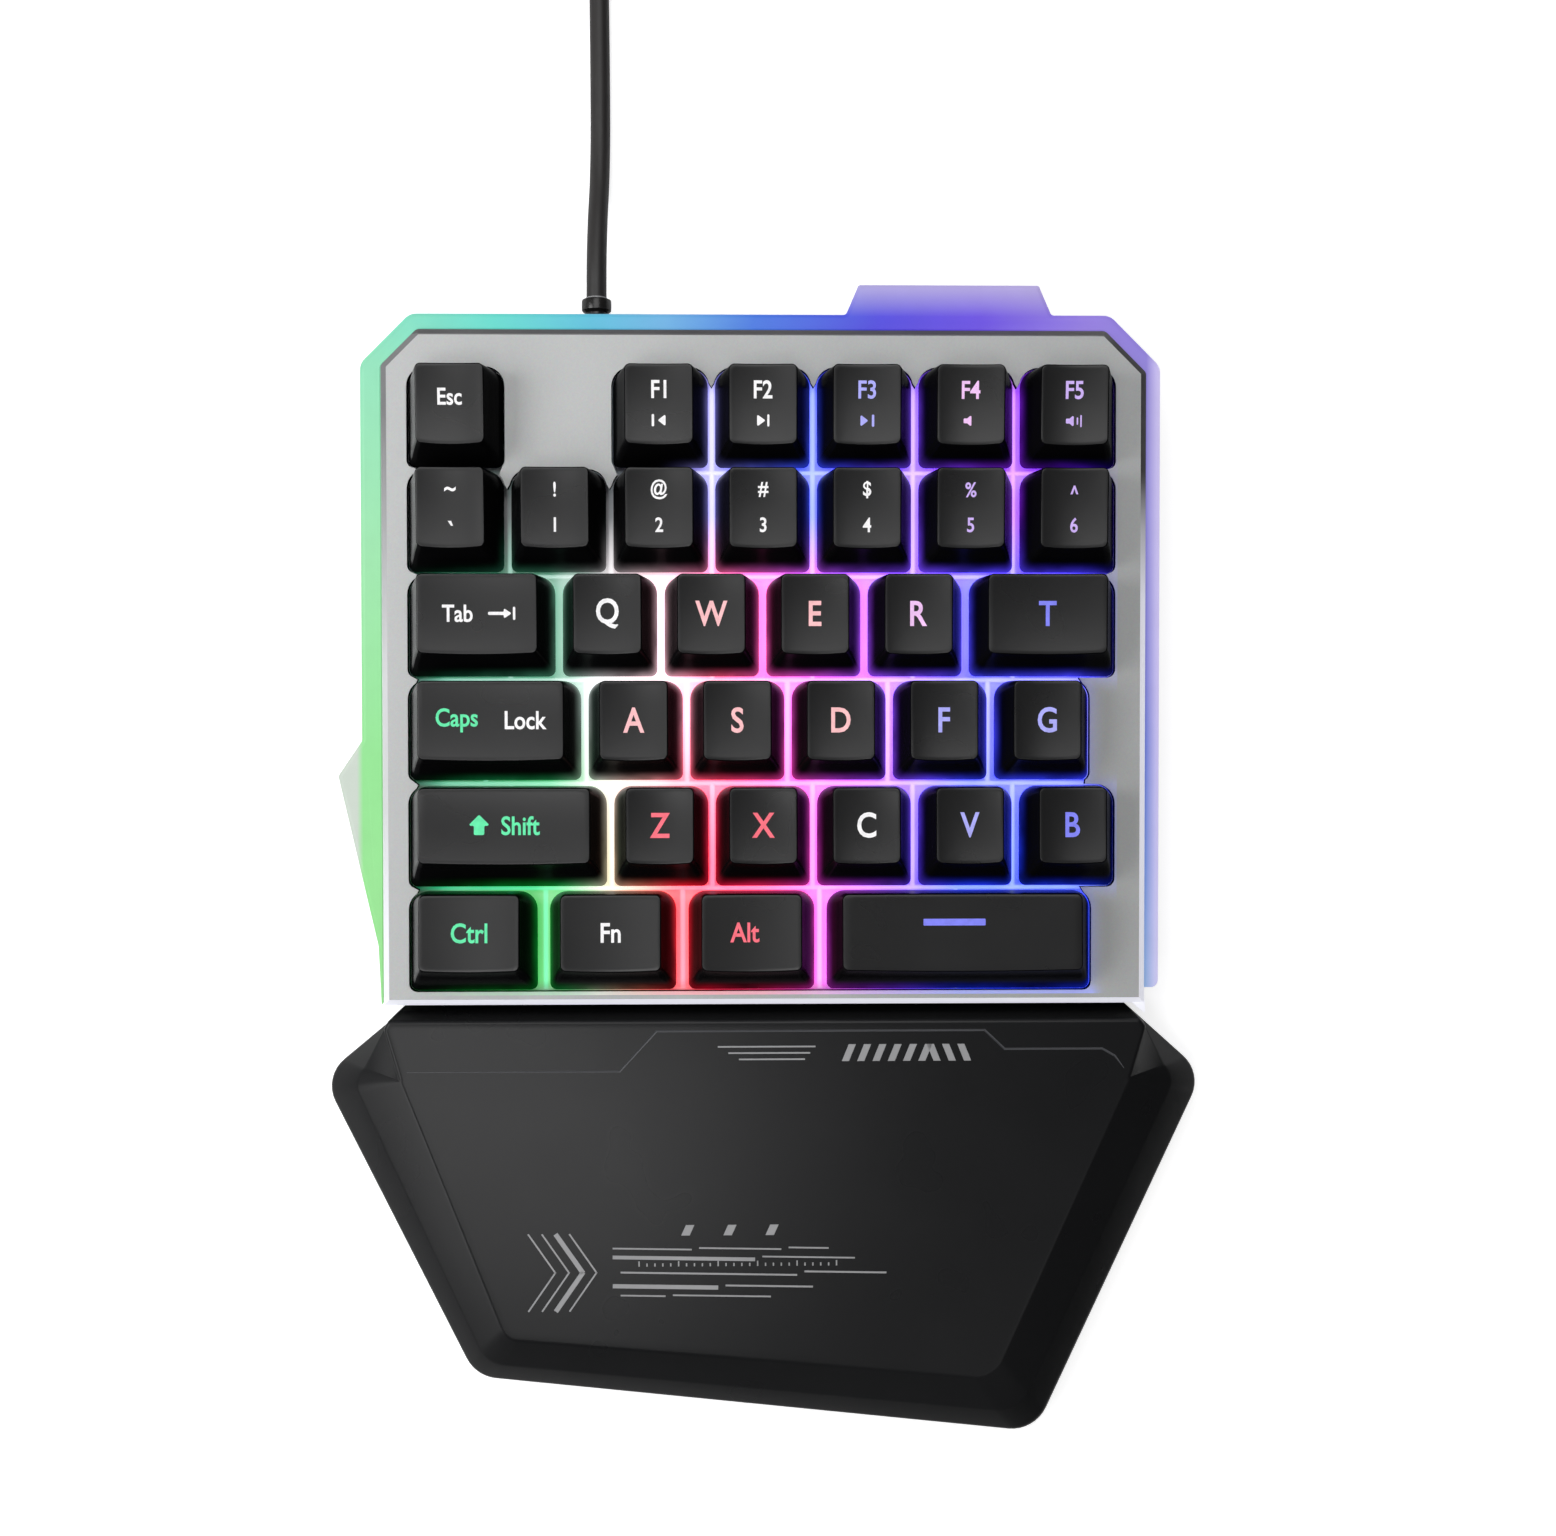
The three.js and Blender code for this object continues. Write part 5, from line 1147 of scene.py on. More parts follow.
class KEYPAD_OT_light_strip(PieceMaker, bpy.types.Operator):
    """Make the lit strip round the key plate, with its rear crest and its fin"""

    bl_idname = "keypad.light_strip"
    bl_label = "Light Strip"

    def build(self, mm):
        left, right, rear = mm.left, mm.right, mm.cover_length + mm.rear_shift
        gap = mm.seat_gap
        outer_left, outer_right, outer_rear = left - mm.strip_left, right + mm.strip_right, rear + mm.strip_rear
        crest_left = left + mm.crest_start
        crest_right = crest_left + mm.crest_width
        rearmost = mm.rearmost + mm.rear_shift
        cut_left, cut_right, flank, arm_stop = 9.4, 9.6, 2.4, 2.7
        fin_rear, fin_tip, fin_front, fin_reach = 49.8, 43.2, 10.6, 4.5
        inner = [point for point, _ in inset(cover_corners(mm, 1.5), -gap)]
        corners = [
            ((outer_right, arm_stop), 1.4), ((outer_right, outer_rear - cut_right), 3),
            ((outer_right - cut_right, outer_rear), 3), ((crest_right, outer_rear), 0.8),
            ((crest_right - flank, rearmost), 0.5), ((crest_left + flank, rearmost), 0.5),
            ((crest_left, outer_rear), 0.8), ((outer_left + cut_left, outer_rear), 3),
            ((outer_left, outer_rear - cut_left), 3), ((outer_left, fin_rear), 1),
            ((outer_left - fin_reach, fin_tip), 1), ((left - 1.2, fin_front), 0.6), ((left - 0.7, 0), 0),
            ((left - gap, 0), 0), (inner[5], 1.5), (inner[4], 1.5), (inner[3], 1.5), (inner[2], 1.5),
            ((right + gap, arm_stop), 0)]
        bend, crease = mm.strip_edge, 0.12
        # How far the top's edge draws in, for every edge of the outline in turn
        shares = [bend] * 11 + [crease] * 8
        profile = []
        for k in range(7):
            angle = k / 6 * math.pi / 2
            drawn = 1 - math.cos(angle)
            profile.append(([drawn * share for share in shares], -mm.strip_top - bend * (1 - math.sin(angle))))
        flange = -(mm.cover_depth + gap)
        rings = [(0, flange), *profile]
        skin = Skin()
        skin.fill(skin.walls(corners, rings)[1])
        # The flange runs under the plate's skirt as far as its inner wall
        well = [point for point, _ in inset(cover_corners(mm, 1.5), mm.cover_wall)]
        low = corners[:12] + [
            ((left - 0.6, 4.4), 0), ((well[0].x, 4.5), 0), *((well[k], 0.8) for k in (5, 4, 3, 2)),
            ((well[1].x, 4.5), 0), ((outer_right - 1.2, 4.5), 0), ((outer_right - 1.2, arm_stop), 0)]
        skin.block(low, -mm.strip_depth, flange - 0.01, 0.15, finish=1)
        strip = skin.object("light_strip_lit", [finishes["strip"], finishes["shell"]], mm.face_frame())
        edge_line = [Vector((left, 0)), Vector((left, rear - mm.cover_cut_left)),
                     Vector((left + mm.cover_cut_left, rear)), Vector((right - mm.cover_cut_right, rear)),
                     Vector((right, rear - mm.cover_cut_right)), Vector((right, arm_stop))]
        mesh = strip.data
        back = mm.face_frame().inverted() @ Matrix.Scale(1 / MM, 4)
        along = mesh.attributes.new("along", "FLOAT", "POINT")
        for vertex in mesh.vertices:
            along.data[vertex.index].value = nearest_share(edge_line, (back @ vertex.co).to_2d())
        settle(strip, slot="strip", nodes=("light_strip",))


# Keycaps and their legends


def cap_template():
    """The keycap's rings as shares, which the node tree turns into places for each key."""
    corner_steps, side_steps = 7, 6
    outline = []
    for sx, sy, start in ((-1, -1, 180), (1, -1, 270), (1, 1, 0), (-1, 1, 90)):
        for k in range(corner_steps + 1):
            angle = math.radians(start + 90 * k / corner_steps)
            outline.append(((sx, sy), (math.cos(angle), math.sin(angle)), max(0, sy)))
        nx, ny = {(-1, -1): (1, -1), (1, -1): (1, 1), (1, 1): (-1, 1), (-1, 1): (-1, -1)}[(sx, sy)]
        for k in range(1, side_steps):
            share = k / side_steps
            core = (sx + (nx - sx) * share, sy + (ny - sy) * share)
            normal = (math.cos(math.radians(start + 90)), math.sin(math.radians(start + 90)))
            outline.append((core, normal, max(0, sy + (max(0, ny) - max(0, sy)) * share if ny != sy else sy)))
    count = len(outline)
    # Level from foot to top, shares of the edge's rounding inwards and down, of the middle and of the wall
    levels = [(0.78, 0, 0, 1, 1), (0, 0, 0, 1, 1), (0, 0, 0, 1, 0), (0.35, 0, 0, 1, 0), (0.7, 0, 0, 1, 0)]
    for k in range(5):
        angle = k / 4 * math.pi / 2
        levels.append((1, 1 - math.cos(angle), 1 - math.sin(angle), 1, 0))
    levels += [(1, 1, 0, share, 0) for share in (0.93, 0.82, 0.66, 0.48, 0.28, 0.1)]
    mesh = bpy.data.meshes.new("cap_template")
    faces, upper, rim_middle = [], [], 8
    for level in range(len(levels) - 1):
        for i in range(count):
            j = (i + 1) % count
            a, b = level * count, (level + 1) * count
            faces.append((a + i, a + j, b + j, b + i))
            upper.append(level >= rim_middle)
    faces.append(tuple(range(count))[::-1])
    upper.append(False)
    last = (len(levels) - 1) * count
    faces.append(tuple(range(last, last + count)))
    upper.append(True)
    mesh.from_pydata([(0, 0, 0)] * (len(levels) * count), [], faces)
    lists = {"core": [], "arc": [], "edge": [], "wall": []}
    for level, inward, drop, share, wall in levels:
        for core, normal, rear in outline:
            lists["core"].append((*core, rear))
            lists["arc"].append((*normal, level))
            lists["edge"].append((inward, drop, share))
            lists["wall"].append((wall, 0, 0))
    for name, values in lists.items():
        attribute = mesh.attributes.new(name, "FLOAT_VECTOR", "POINT")
        for item, value in zip(attribute.data, values):
            item.vector = value
    attribute = mesh.attributes.new("upper", "BOOLEAN", "FACE")
    for item, value in zip(attribute.data, upper):
        item.value = value
    return mesh


def cap_tree():
    """Forms a keycap from the template: a drafted skirt, a rounded rim and a dished, tilted top."""
    tree, given = geometry_tree("Keycap", [
        ("Foot", "Vector"), ("Top", "Vector"), ("Rear Radius", "Float"), ("Front Radius", "Float"),
        ("Top Radius", "Float"), ("Edge", "Float"), ("Shift", "Float"), ("Rise", "Float"), ("Tilt", "Float"),
        ("Dish", "Float"), ("Hollow", "Float"), ("Bow", "Float"), ("Sink", "Float"), ("Wall", "Float"),
        ("Plunger", "Vector"),
        ("Side Finish", "Material"), ("Left Finish", "Material"), ("Top Finish", "Material")])
    read = {}
    for name in ("core", "arc", "edge", "wall"):
        read[name] = axes(tree, node(
            tree, "GeometryNodeInputNamedAttribute", {"Name": name}, data_type="FLOAT_VECTOR").outputs[0])
    core, arc, edge, wall = read["core"], read["arc"], read["edge"], read["wall"]
    flat_core, flat_arc = (packed(tree, X=flat["X"], Y=flat["Y"]) for flat in (core, arc))

    def outline(size, radius):
        half = vectors(tree, "SUBTRACT", vectors(tree, "SCALE", size, 0.5), packed(tree, X=radius, Y=radius))
        core, arc = vectors(tree, "MULTIPLY", flat_core, half), vectors(tree, "SCALE", flat_arc, radius)
        return vectors(tree, "ADD", core, arc)

    radius = between(tree, core["Z"], given["Front Radius"], given["Rear Radius"])
    walled = vectors(tree, "SCALE", flat_arc, sums(tree, "MULTIPLY", wall["X"], given["Wall"]))
    foot = vectors(tree, "SUBTRACT", outline(given["Foot"], radius), walled)
    rounding = vectors(tree, "SCALE", flat_arc, sums(tree, "MULTIPLY", edge["X"], given["Edge"]))
    top = vectors(tree, "SUBTRACT", outline(given["Top"], given["Top Radius"]),
                  vectors(tree, "ADD", walled, rounding))
    top = vectors(tree, "SCALE", top, edge["Z"])
    place = axes(tree, top)
    share = axes(tree, vectors(tree, "DIVIDE", vectors(tree, "SCALE", top, 2.0), given["Top"]))
    square_x, square_y = (sums(tree, "MULTIPLY", value, value) for value in (share["X"], share["Y"]))
    bowl = vectors(tree, "DOT_PRODUCT", packed(tree, X=square_x, Y=square_y, Z=-1.0),
                   packed(tree, X=given["Dish"], Y=given["Hollow"], Z=given["Dish"]))
    height = sums(tree, "ADD", given["Rise"], sums(tree, "MULTIPLY", place["Y"], given["Tilt"]))
    height = sums(tree, "SUBTRACT", sums(tree, "ADD", height, bowl),
                  sums(tree, "MULTIPLY", edge["Y"], given["Edge"]))
    bulge = sums(tree, "MULTIPLY", sums(tree, "SUBTRACT", 1.0, square_x), sums(tree, "MINIMUM", share["Y"], 0.0),
                 given["Bow"])
    high = packed(tree, X=place["X"], Y=sums(tree, "ADD", place["Y"], given["Shift"], bulge), Z=height)
    low = vectors(tree, "ADD", foot, packed(tree, Z=sums(tree, "MULTIPLY", given["Sink"], -1.0)))
    spot = node(tree, "ShaderNodeMix", {"Factor": arc["Z"], 4: low, 5: high}, data_type="VECTOR").outputs[1]
    cap = node(tree, "GeometryNodeSetPosition", {"Geometry": given["Geometry"], "Position": spot}).outputs[0]

    plunger = node(tree, "GeometryNodeMeshCube", {"Size": given["Plunger"]}).outputs[0]
    half = sums(tree, "MULTIPLY", axes(tree, given["Plunger"])["Z"], 0.5)
    plunger = node(tree, "GeometryNodeSetPosition", {
        "Geometry": plunger,
        "Offset": packed(tree, Z=sums(tree, "SUBTRACT", given["Rise"], 2.0, half))}).outputs[0]
    upper = node(tree, "GeometryNodeInputNamedAttribute", {"Name": "upper"}, data_type="BOOLEAN").outputs[0]
    end_tree(tree, joined(tree, cap, plunger), (
        (given["Side Finish"], None), (given["Left Finish"], sums(tree, "LESS_THAN", arc["X"], -0.8)),
        (given["Top Finish"], upper)))
    return tree


class KEYPAD_OT_keycaps(PieceMaker, bpy.types.Operator):
    """Form every keycap with one node tree"""

    bl_idname = "keypad.keycaps"
    bl_label = "Keycaps"

    def build(self, mm):
        tree, template = cap_tree(), cap_template()
        for key in all_keys(mm):
            settle_grown("cap_" + key.name, tree, {
                "Foot": (key.width, key.depth, 0), "Top": (key.top_width, key.top_depth, 0),
                "Rear Radius": mm.cap_rear_radius, "Front Radius": mm.cap_front_radius,
                "Top Radius": mm.cap_top_radius, "Edge": mm.cap_edge, "Shift": key.shift, "Rise": key.rise,
                "Tilt": key.tilt, "Dish": key.dish, "Hollow": key.hollow, "Bow": mm.cap_bow,
                "Sink": mm.cap_sink, "Wall": mm.cap_wall,
                "Plunger": (mm.plunger_side, mm.plunger_side, 13.0), "Side Finish": finishes["cap_side"],
                "Left Finish": finishes["cap_end" if key.x - key.width / 2 < mm.field_left + 1 else "cap_side"],
                "Top Finish": finishes["cap_top"]}, template.copy(), key.place(mm), 30,
                body="keycap_" + key.name, slot="keycap", nodes=("keycap_" + key.name,))


# Height in millimetres of a letter key's legend, then height, place, colour and text of the other keys' legends
LETTER = 4.7
LEGENDS = {
    digit: ((2.7, 0, 3.2, tint, upper), (2.7, 0, -3.2, tint, digit))
    for digit, upper, tint in zip("123456", "!@#$%^", 4 * ["white"] + 2 * ["mauve"])}
LEGENDS |= {
    "esc": ((3.1, 0, 1.2, "white", "Esc"),),
    "grave": ((3.2, 0, 3.2, "white", "~"), (3.6, 0, -3.0, "white", "`")),
    "tab": ((3.2, -3.6, 0, "white", "Tab"),),
    "caps": ((3.4, -6.2, 0, "green", "Caps"), (3.4, 6.4, 0, "white", "Lock")),
    "shift": ((3.5, 3.0, 0, "green", "Shift"),),
    "ctrl": ((3.7, 0, 0, "green", "Ctrl"),),
    "fn": ((3.7, 0, 0, "white", "Fn"),),
    "alt": ((3.7, -1.3, 0, "red", "Alt"),),
}
LETTER_COLOURS = {
    "white": "qc", "rose": "wesda", "pink": "r", "lavender": "vfg", "indigo": "tb", "red": "zx"}
# Outlines of the small icons, in shares of their height
ICONS = {
    "back": (((-0.1, 0), (0.55, 0.5), (0.55, -0.5)), ((-0.6, 0.5), (-0.6, -0.5), (-0.4, -0.5), (-0.4, 0.5))),
    "play": (((-0.5, 0.5), (-0.5, -0.5), (0.2, 0)), ((0.35, 0.5), (0.35, -0.5), (0.52, -0.5), (0.52, 0.5))),
    "next": (((-0.55, 0.5), (-0.55, -0.5), (0.1, 0)), ((0.4, 0.5), (0.4, -0.5), (0.6, -0.5), (0.6, 0.5))),
    "quiet": (((-0.6, 0.2), (-0.6, -0.2), (-0.3, -0.2), (0.05, -0.5), (0.05, 0.5), (-0.3, 0.2)),),
    "loud": (((-0.7, 0.2), (-0.7, -0.2), (-0.4, -0.2), (-0.05, -0.5), (-0.05, 0.5), (-0.4, 0.2)),
             ((0.2, 0.3), (0.2, -0.3), (0.32, -0.3), (0.32, 0.3)),
             ((0.5, 0.5), (0.5, -0.5), (0.62, -0.5), (0.62, 0.5))),
    "tab": (((-1.0, 0.12), (-1.0, -0.12), (0.2, -0.12), (0.2, -0.4), (0.8, 0), (0.2, 0.4), (0.2, 0.12)),
            ((0.9, 0.5), (0.9, -0.5), (1.08, -0.5), (1.08, 0.5))),
    "shift": (((0, 0.6), (-0.6, 0), (-0.28, 0), (-0.28, -0.5), (0.28, -0.5), (0.28, 0), (0.6, 0)),),
    "bar": (((-4.6, 0.5), (-4.6, -0.5), (4.6, -0.5), (4.6, 0.5)),),
}
ICON_PLACES = {
    "f1": ("back", 2.2, 0, -3.0, "white"), "f2": ("play", 2.2, 0, -3.0, "white"),
    "f3": ("next", 2.2, 0, -3.0, "lavender"), "f4": ("quiet", 2.2, 0, -3.0, "pink"),
    "f5": ("loud", 2.2, 0, -3.0, "mauve"), "tab": ("tab", 2.4, 4.4, 0, "white"),
    "shift": ("shift", 3.4, -4.6, 0, "green"), "space": ("bar", 1.25, -1.5, 1.8, "indigo"),
}


def lettering(text, height):
    """Flat text as a slab, centred, in millimetres. Its height is that of a capital."""
    curve = bpy.data.curves.new("text", "FONT")
    curve.body = text
    curve.size = height / 0.73
    curve.extrude = 0.06
    curve.offset = 0.11 * height / 4.7
    curve.resolution_u = 4
    piece = bpy.data.objects.new("text", curve)
    bpy.context.scene.collection.objects.link(piece)
    mesh = evaluated_mesh(piece)
    bpy.data.curves.remove(curve)
    xs = [v.co.x for v in mesh.vertices]
    ys = [v.co.y for v in mesh.vertices]
    mesh.transform(Matrix.Scale(0.84, 4, (1, 0, 0)) @ Matrix.Translation(
        (-(min(xs) + max(xs)) / 2, -(min(ys) + max(ys)) / 2, 0)))
    return mesh


def key_legends(key):
    """The key's legends: (height, x, y, tint, text) entries."""
    if key.name in LEGENDS:
        return LEGENDS[key.name]
    if key.name in ICON_PLACES and key.name[0] == "f":
        return ((3.3, 0, 2.6, ICON_PLACES[key.name][4], key.name.upper()),)
    if len(key.name) == 1:
        tint = next(tint for tint, names in LETTER_COLOURS.items() if key.name in names)
        return ((LETTER, 0, 0, tint, key.name.upper()),)
    return ()


class KEYPAD_OT_legends(PieceMaker, bpy.types.Operator):
    """Lay the lit letters, numbers and icons into the key tops"""

    bl_idname = "keypad.legends"
    bl_label = "Legends"

    def build(self, mm):
        for key in all_keys(mm):
            skin, used = Skin(), []
            for height, x, y, tint, text in key_legends(key):
                used = used if tint in used else [*used, tint]
                skin.join(lettering(text, height), Matrix.Translation((x, y, 0)), used.index(tint))
            if key.name in ICON_PLACES:
                icon, height, x, y, tint = ICON_PLACES[key.name]
                used = used if tint in used else [*used, tint]
                for outline in ICONS[icon]:
                    corners = [((x + px * height, y + py * height), 0.08 * height) for px, py in outline]
                    skin.block(corners, -0.06, 0.06, finish=used.index(tint))
            if not used:
                continue
            for vertex in skin.bm.verts:
                place = vertex.co
                place.y += key.shift
                place.z = key.height(place.x, place.y) + (0.03 if place.z > 0 else -0.09)
            legend = skin.object(
                "legend_" + key.name, [finishes["legend_" + tint] for tint in used],
                key.place(mm))
            settle(legend, "keycap_" + key.name, "keycap")


# Palm rest


class PalmShape:
    """Outlines of the palm rest on the desk, in millimetres."""

    def __init__(self, mm):
        self.rear = mm.cover_front - mm.slide_gap
        self.front = -mm.overall_length / 2
        left, right = mm.left, mm.right
        wing, wing_x = self.rear - 14, right + 13.75
        nose, skew = self.front - 0.6, 11.5
        nose_left, nose_right = -55.9, 52.4
        self.outline = [
            ((left + 2.7, self.rear), 0.8), ((left - 0.75, self.rear - 3.5), 1.2), ((-wing_x, wing), 6.8),
            ((nose_left, nose + skew), 7.3), ((nose_right, nose), 7.3), ((wing_x, wing), 6.8),
            ((right + 1.2, self.rear - 3.0), 2), ((right - 2.2, self.rear), 1)]
        panel_rear = self.rear - 2.5
        self.panel = [
            ((left + 0.6, panel_rear), 0.6), ((left - 0.2, panel_rear - 1.6), 1), ((-wing_x + 16.8, wing), 6),
            ((nose_left + 6.6, nose + skew + 8.6), 4), ((nose_right - 9.0, nose + 12.0), 6),
            ((wing_x - 16.4, wing), 6),
            ((right + 0.6, panel_rear - 1.6), 1), ((right - 0.6, panel_rear), 0.6)]

    def crown(self, y):
        """Height of the panel, which falls towards the front."""
        at_rear, at_front = 16.9, 11.6
        return at_rear + (at_front - at_rear) * (self.rear - y) / (self.rear - self.front)

    def lines(self):
        """The fine grooves across the panel: long stepped lines behind the middle."""
        y = self.rear
        return (
            ((-69.4, y - 12.2), (-27.6, y - 12.2), (-20.6, y - 4.6), (41.6, y - 4.6), (45.4, y - 8.2),
             (64.0, y - 8.2), (66.4, y - 9.6), (68.6, y - 12.4)),
            ((-20.0, y - 3.4), (18.0, y - 3.4)),
        )


class KEYPAD_OT_palm_rest(PieceMaker, bpy.types.Operator):
    """Make the palm rest with its raised panel and grooves"""

    bl_idname = "keypad.palm_rest"
    bl_label = "Palm Rest"

    def build(self, mm):
        shape = PalmShape(mm)
        steps, wall, foot, waist = 8, 2.2, 2.1, 6.4
        tucked = rounded(inset(shape.outline, 1), steps)
        widest = rounded(shape.outline, steps)
        panel = rounded(shape.panel, steps)
        rim = rounded(inset(shape.panel, 1.6), steps)
        sections = []
        for low, wide, high, inside in zip(tucked, widest, panel, rim):
            crown = shape.crown(high.y)
            shoulder = (*high.lerp(wide, 0.6), waist + 0.5 * (crown - waist))
            bends = [((*low, foot), 0), ((*wide, waist), 1.5), (shoulder, 4), ((*high, crown), 1.5),
                     ((*inside, shape.crown(inside.y)), 0)]
            sections.append(rounded(bends, 5, closed=False))
        skin = Skin()
        rings = [skin.ring([section[k] for section in sections]) for k in range(len(sections[0]))]
        for low, high in zip(rings, rings[1:]):
            skin.strip(low, high)
        inner_foot = skin.ring([(*p, foot) for p in rounded(inset(shape.outline, 1 + wall), steps)])
        inner_roof = skin.ring([
            (*p, shape.crown(p.y) - wall) for p in rounded(inset(shape.panel, wall), steps)])
        skin.strip(rings[0], inner_foot)
        skin.strip(inner_foot, inner_roof)
        skin.fill(inner_roof)
        self.panel_top(skin, shape, rings[-1])
        body = skin.object("palm_rest_body", [finishes["palm"], finishes["groove"]], sharp=20)
        settle(body, slot="palm", nodes=("palm_rest",))

    def panel_top(self, skin, shape, border):
        """Fills the panel with triangles that follow the grooves and presses the grooves in."""
        half, deep = 0.2, 0.12
        points = [vert.co.to_2d() for vert in border]
        count = len(points)
        edges = [(i, (i + 1) % count) for i in range(count)]
        sunk = set()
        for line in shape.lines():
            line = [Vector(p) for p in line]
            rows = ([], [], [])
            for i, place in enumerate(line):
                before = (place - line[i - 1]).normalized() if i else (line[1] - place).normalized()
                after = (line[i + 1] - place).normalized() if i + 1 < len(line) else before
                side = Vector((-(before + after).y, (before + after).x)).normalized()
                side /= max(0.5, side.dot(Vector((-before.y, before.x))))
                end = i in (0, len(line) - 1)
                for row, offset in zip(rows, (-half, 0, half)):
                    row.append(place + side * (0.4 * offset if end else offset))
            starts = len(points)
            size = len(line)
            points += rows[0] + rows[1] + rows[2]
            sunk.update(range(starts + size, starts + 2 * size))
            for row in range(3):
                edges += [(starts + row * size + i, starts + row * size + i + 1) for i in range(size - 1)]
        done = delaunay_2d_cdt(points, edges, [list(range(count))], 1, 1e-4)
        verts, faces, sources = done[0], done[2], done[3]
        made, grooves = [], []
        for place, source in zip(verts, sources):
            known = [i for i in source if i < count]
            in_groove = any(i in sunk for i in source)
            grooves.append(in_groove)
            if known:
                made.append(border[known[0]])
                continue
            made.append(skin.bm.verts.new((*place, shape.crown(place.y) - (deep if in_groove else 0))))
        for face in faces:
            if len(set(face)) > 2:
                made_face = skin.bm.faces.new([made[i] for i in face])
                # Groove faces take the lighter groove finish, a painted highlight.
                made_face.material_index = int(any(grooves[i] for i in face))


class KEYPAD_OT_palm_print(PieceMaker, bpy.types.Operator):
    """Print plain lines, chevrons and leaning bars on the palm rest"""

    bl_idname = "keypad.palm_print"
    bl_label = "Palm Print"

    def build(self, mm):
        shape = PalmShape(mm)
        skin = Skin()

        def flat(corners):
            rings = []
            for lift in (-0.03, 0.02):
                rings.append(skin.ring([(x, y, shape.crown(y) + lift) for x, y in corners]))
            skin.strip(rings[0], rings[1])
            skin.fill(rings[1])

        def stroke(start, end, thick=0.34):
            start, end = Vector(start), Vector(end)
            side = (end - start).orthogonal().normalized() * thick / 2
            flat([start - side, end - side, end + side, start + side])

        # Nested chevrons, then long lines with breaks, and a fine scale under them
        y = shape.rear - 50.5
        for k, thick in enumerate((0.3, 0.3, 0.9, 0.3)):
            x = -45 + 2.6 * k
            stroke((x, y + 7.4), (x + 5.2, y - 0.1), thick)
            stroke((x + 5.2, y + 0.1), (x, y - 7.4), thick)
        for start, end, rise, thick in (
                (-29, -14, 4.6, 0.3), (-12.6, 3, 4.6, 0.3), (4.4, 12, 4.6, 0.3),
                (-29, -2, 2.9, 0.7), (-0.6, 17, 2.9, 0.3),
                (-27.5, 6, 0.0, 0.34), (7.4, 23, 0.0, 0.34), (-29, -9, -2.6, 0.8), (-7.6, 9, -2.6, 0.34),
                (-27.5, -19, -4.4, 0.3), (-17.6, 1, -4.4, 0.3)):
            stroke((start, y + rise), (end, y + rise - 0.02 * (end - start)), thick)
        for k in range(26):
            x = -24 + 1.5 * k
            stroke((x, y + 1.1), (x, y + (2.1 if k % 5 == 0 else 1.7)), 0.26)
        for k in range(3):
            x = -16 + 8 * k
            flat([(x, y + 7), (x + 1.6, y + 7), (x + 2.5, y + 9), (x + 0.9, y + 9)])
        # Leaning bars by the step of the groove
        for k in range(9):
            x = 14.5 + 2.9 * k
            lean = 1.3 if k < 6 else -1.3
            flat([(x, shape.rear - 10.4), (x + 1.35, shape.rear - 10.4), (x + 1.35 + lean, shape.rear - 7.2),
                  (x + lean, shape.rear - 7.2)])
        for k in range(3):
            stroke((-9 + 2 * k, shape.rear - 7.6 - 1.2 * k), (9.5 - k, shape.rear - 7.6 - 1.2 * k), 0.3)
        settle(skin.object("palm_print", [finishes["printed"]]), slot="palm")


# The pieces that show little or lie inside


class KEYPAD_OT_inner_finishes(PieceMaker, bpy.types.Operator):
    """Give the deck, the layers under it, the shell and the feet their finishes"""

    bl_idname = "keypad.inner_finishes"
    bl_label = "Inner Finishes"

    def build(self, mm):
        for name, finish in (
                ("key_deck", "deck"), ("dome_sheet", "dome"), ("membrane", "film"), ("lamp_board", "board"),
                ("controller_board", "board"), ("bottom_shell", "shell"), ("tilt_foot_left", "shell"),
                ("tilt_foot_right", "shell")):
            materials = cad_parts[name].data.materials
            materials.clear()
            materials.append(finishes[finish])


# Plug, strain relief, screws and pads

PLUG_PIECES = ("plug_grip", "plug_tube", "plug_tongue", "plug_contacts")


def rib_tree():
    """Adds rounded ribs round a sleeve that stands along Z. Its section is a rounded rectangle."""
    tree, given = geometry_tree("Ribs", [
        ("Width", "Float"), ("Height", "Float"), ("Corner", "Float"), ("Thickness", "Float"), ("Count", "Int"),
        ("First", "Float"), ("Spacing", "Float"), ("Growth", "Float"), ("Finish", "Material")])
    section = node(tree, "GeometryNodeCurvePrimitiveQuadrilateral", {
        "Width": given["Width"], "Height": given["Height"]}).outputs[0]
    section = node(tree, "GeometryNodeFilletCurve", {
        "Curve": section, "Radius": given["Corner"], "Count": 8, "Limit Radius": True}, mode="POLY").outputs[0]
    profile = node(tree, "GeometryNodeCurvePrimitiveCircle", {
        "Resolution": 8, "Radius": given["Thickness"]}).outputs[0]
    rib = node(tree, "GeometryNodeCurveToMesh", {"Curve": section, "Profile Curve": profile}).outputs[0]
    line = node(tree, "GeometryNodeMeshLine", {
        "Count": given["Count"], "Start Location": packed(tree, Z=given["First"]),
        "Offset": packed(tree, Z=given["Spacing"])}).outputs[0]
    number = node(tree, "GeometryNodeInputIndex").outputs[0]
    size = sums(tree, "ADD", 1.0, sums(tree, "MULTIPLY", number, given["Growth"]))
    row = node(tree, "GeometryNodeInstanceOnPoints", {
        "Points": line, "Instance": rib, "Scale": packed(tree, X=size, Y=size, Z=1.0)}).outputs[0]
    end_tree(tree, joined(tree, given["Geometry"], row), [(given["Finish"], None)])
    return tree


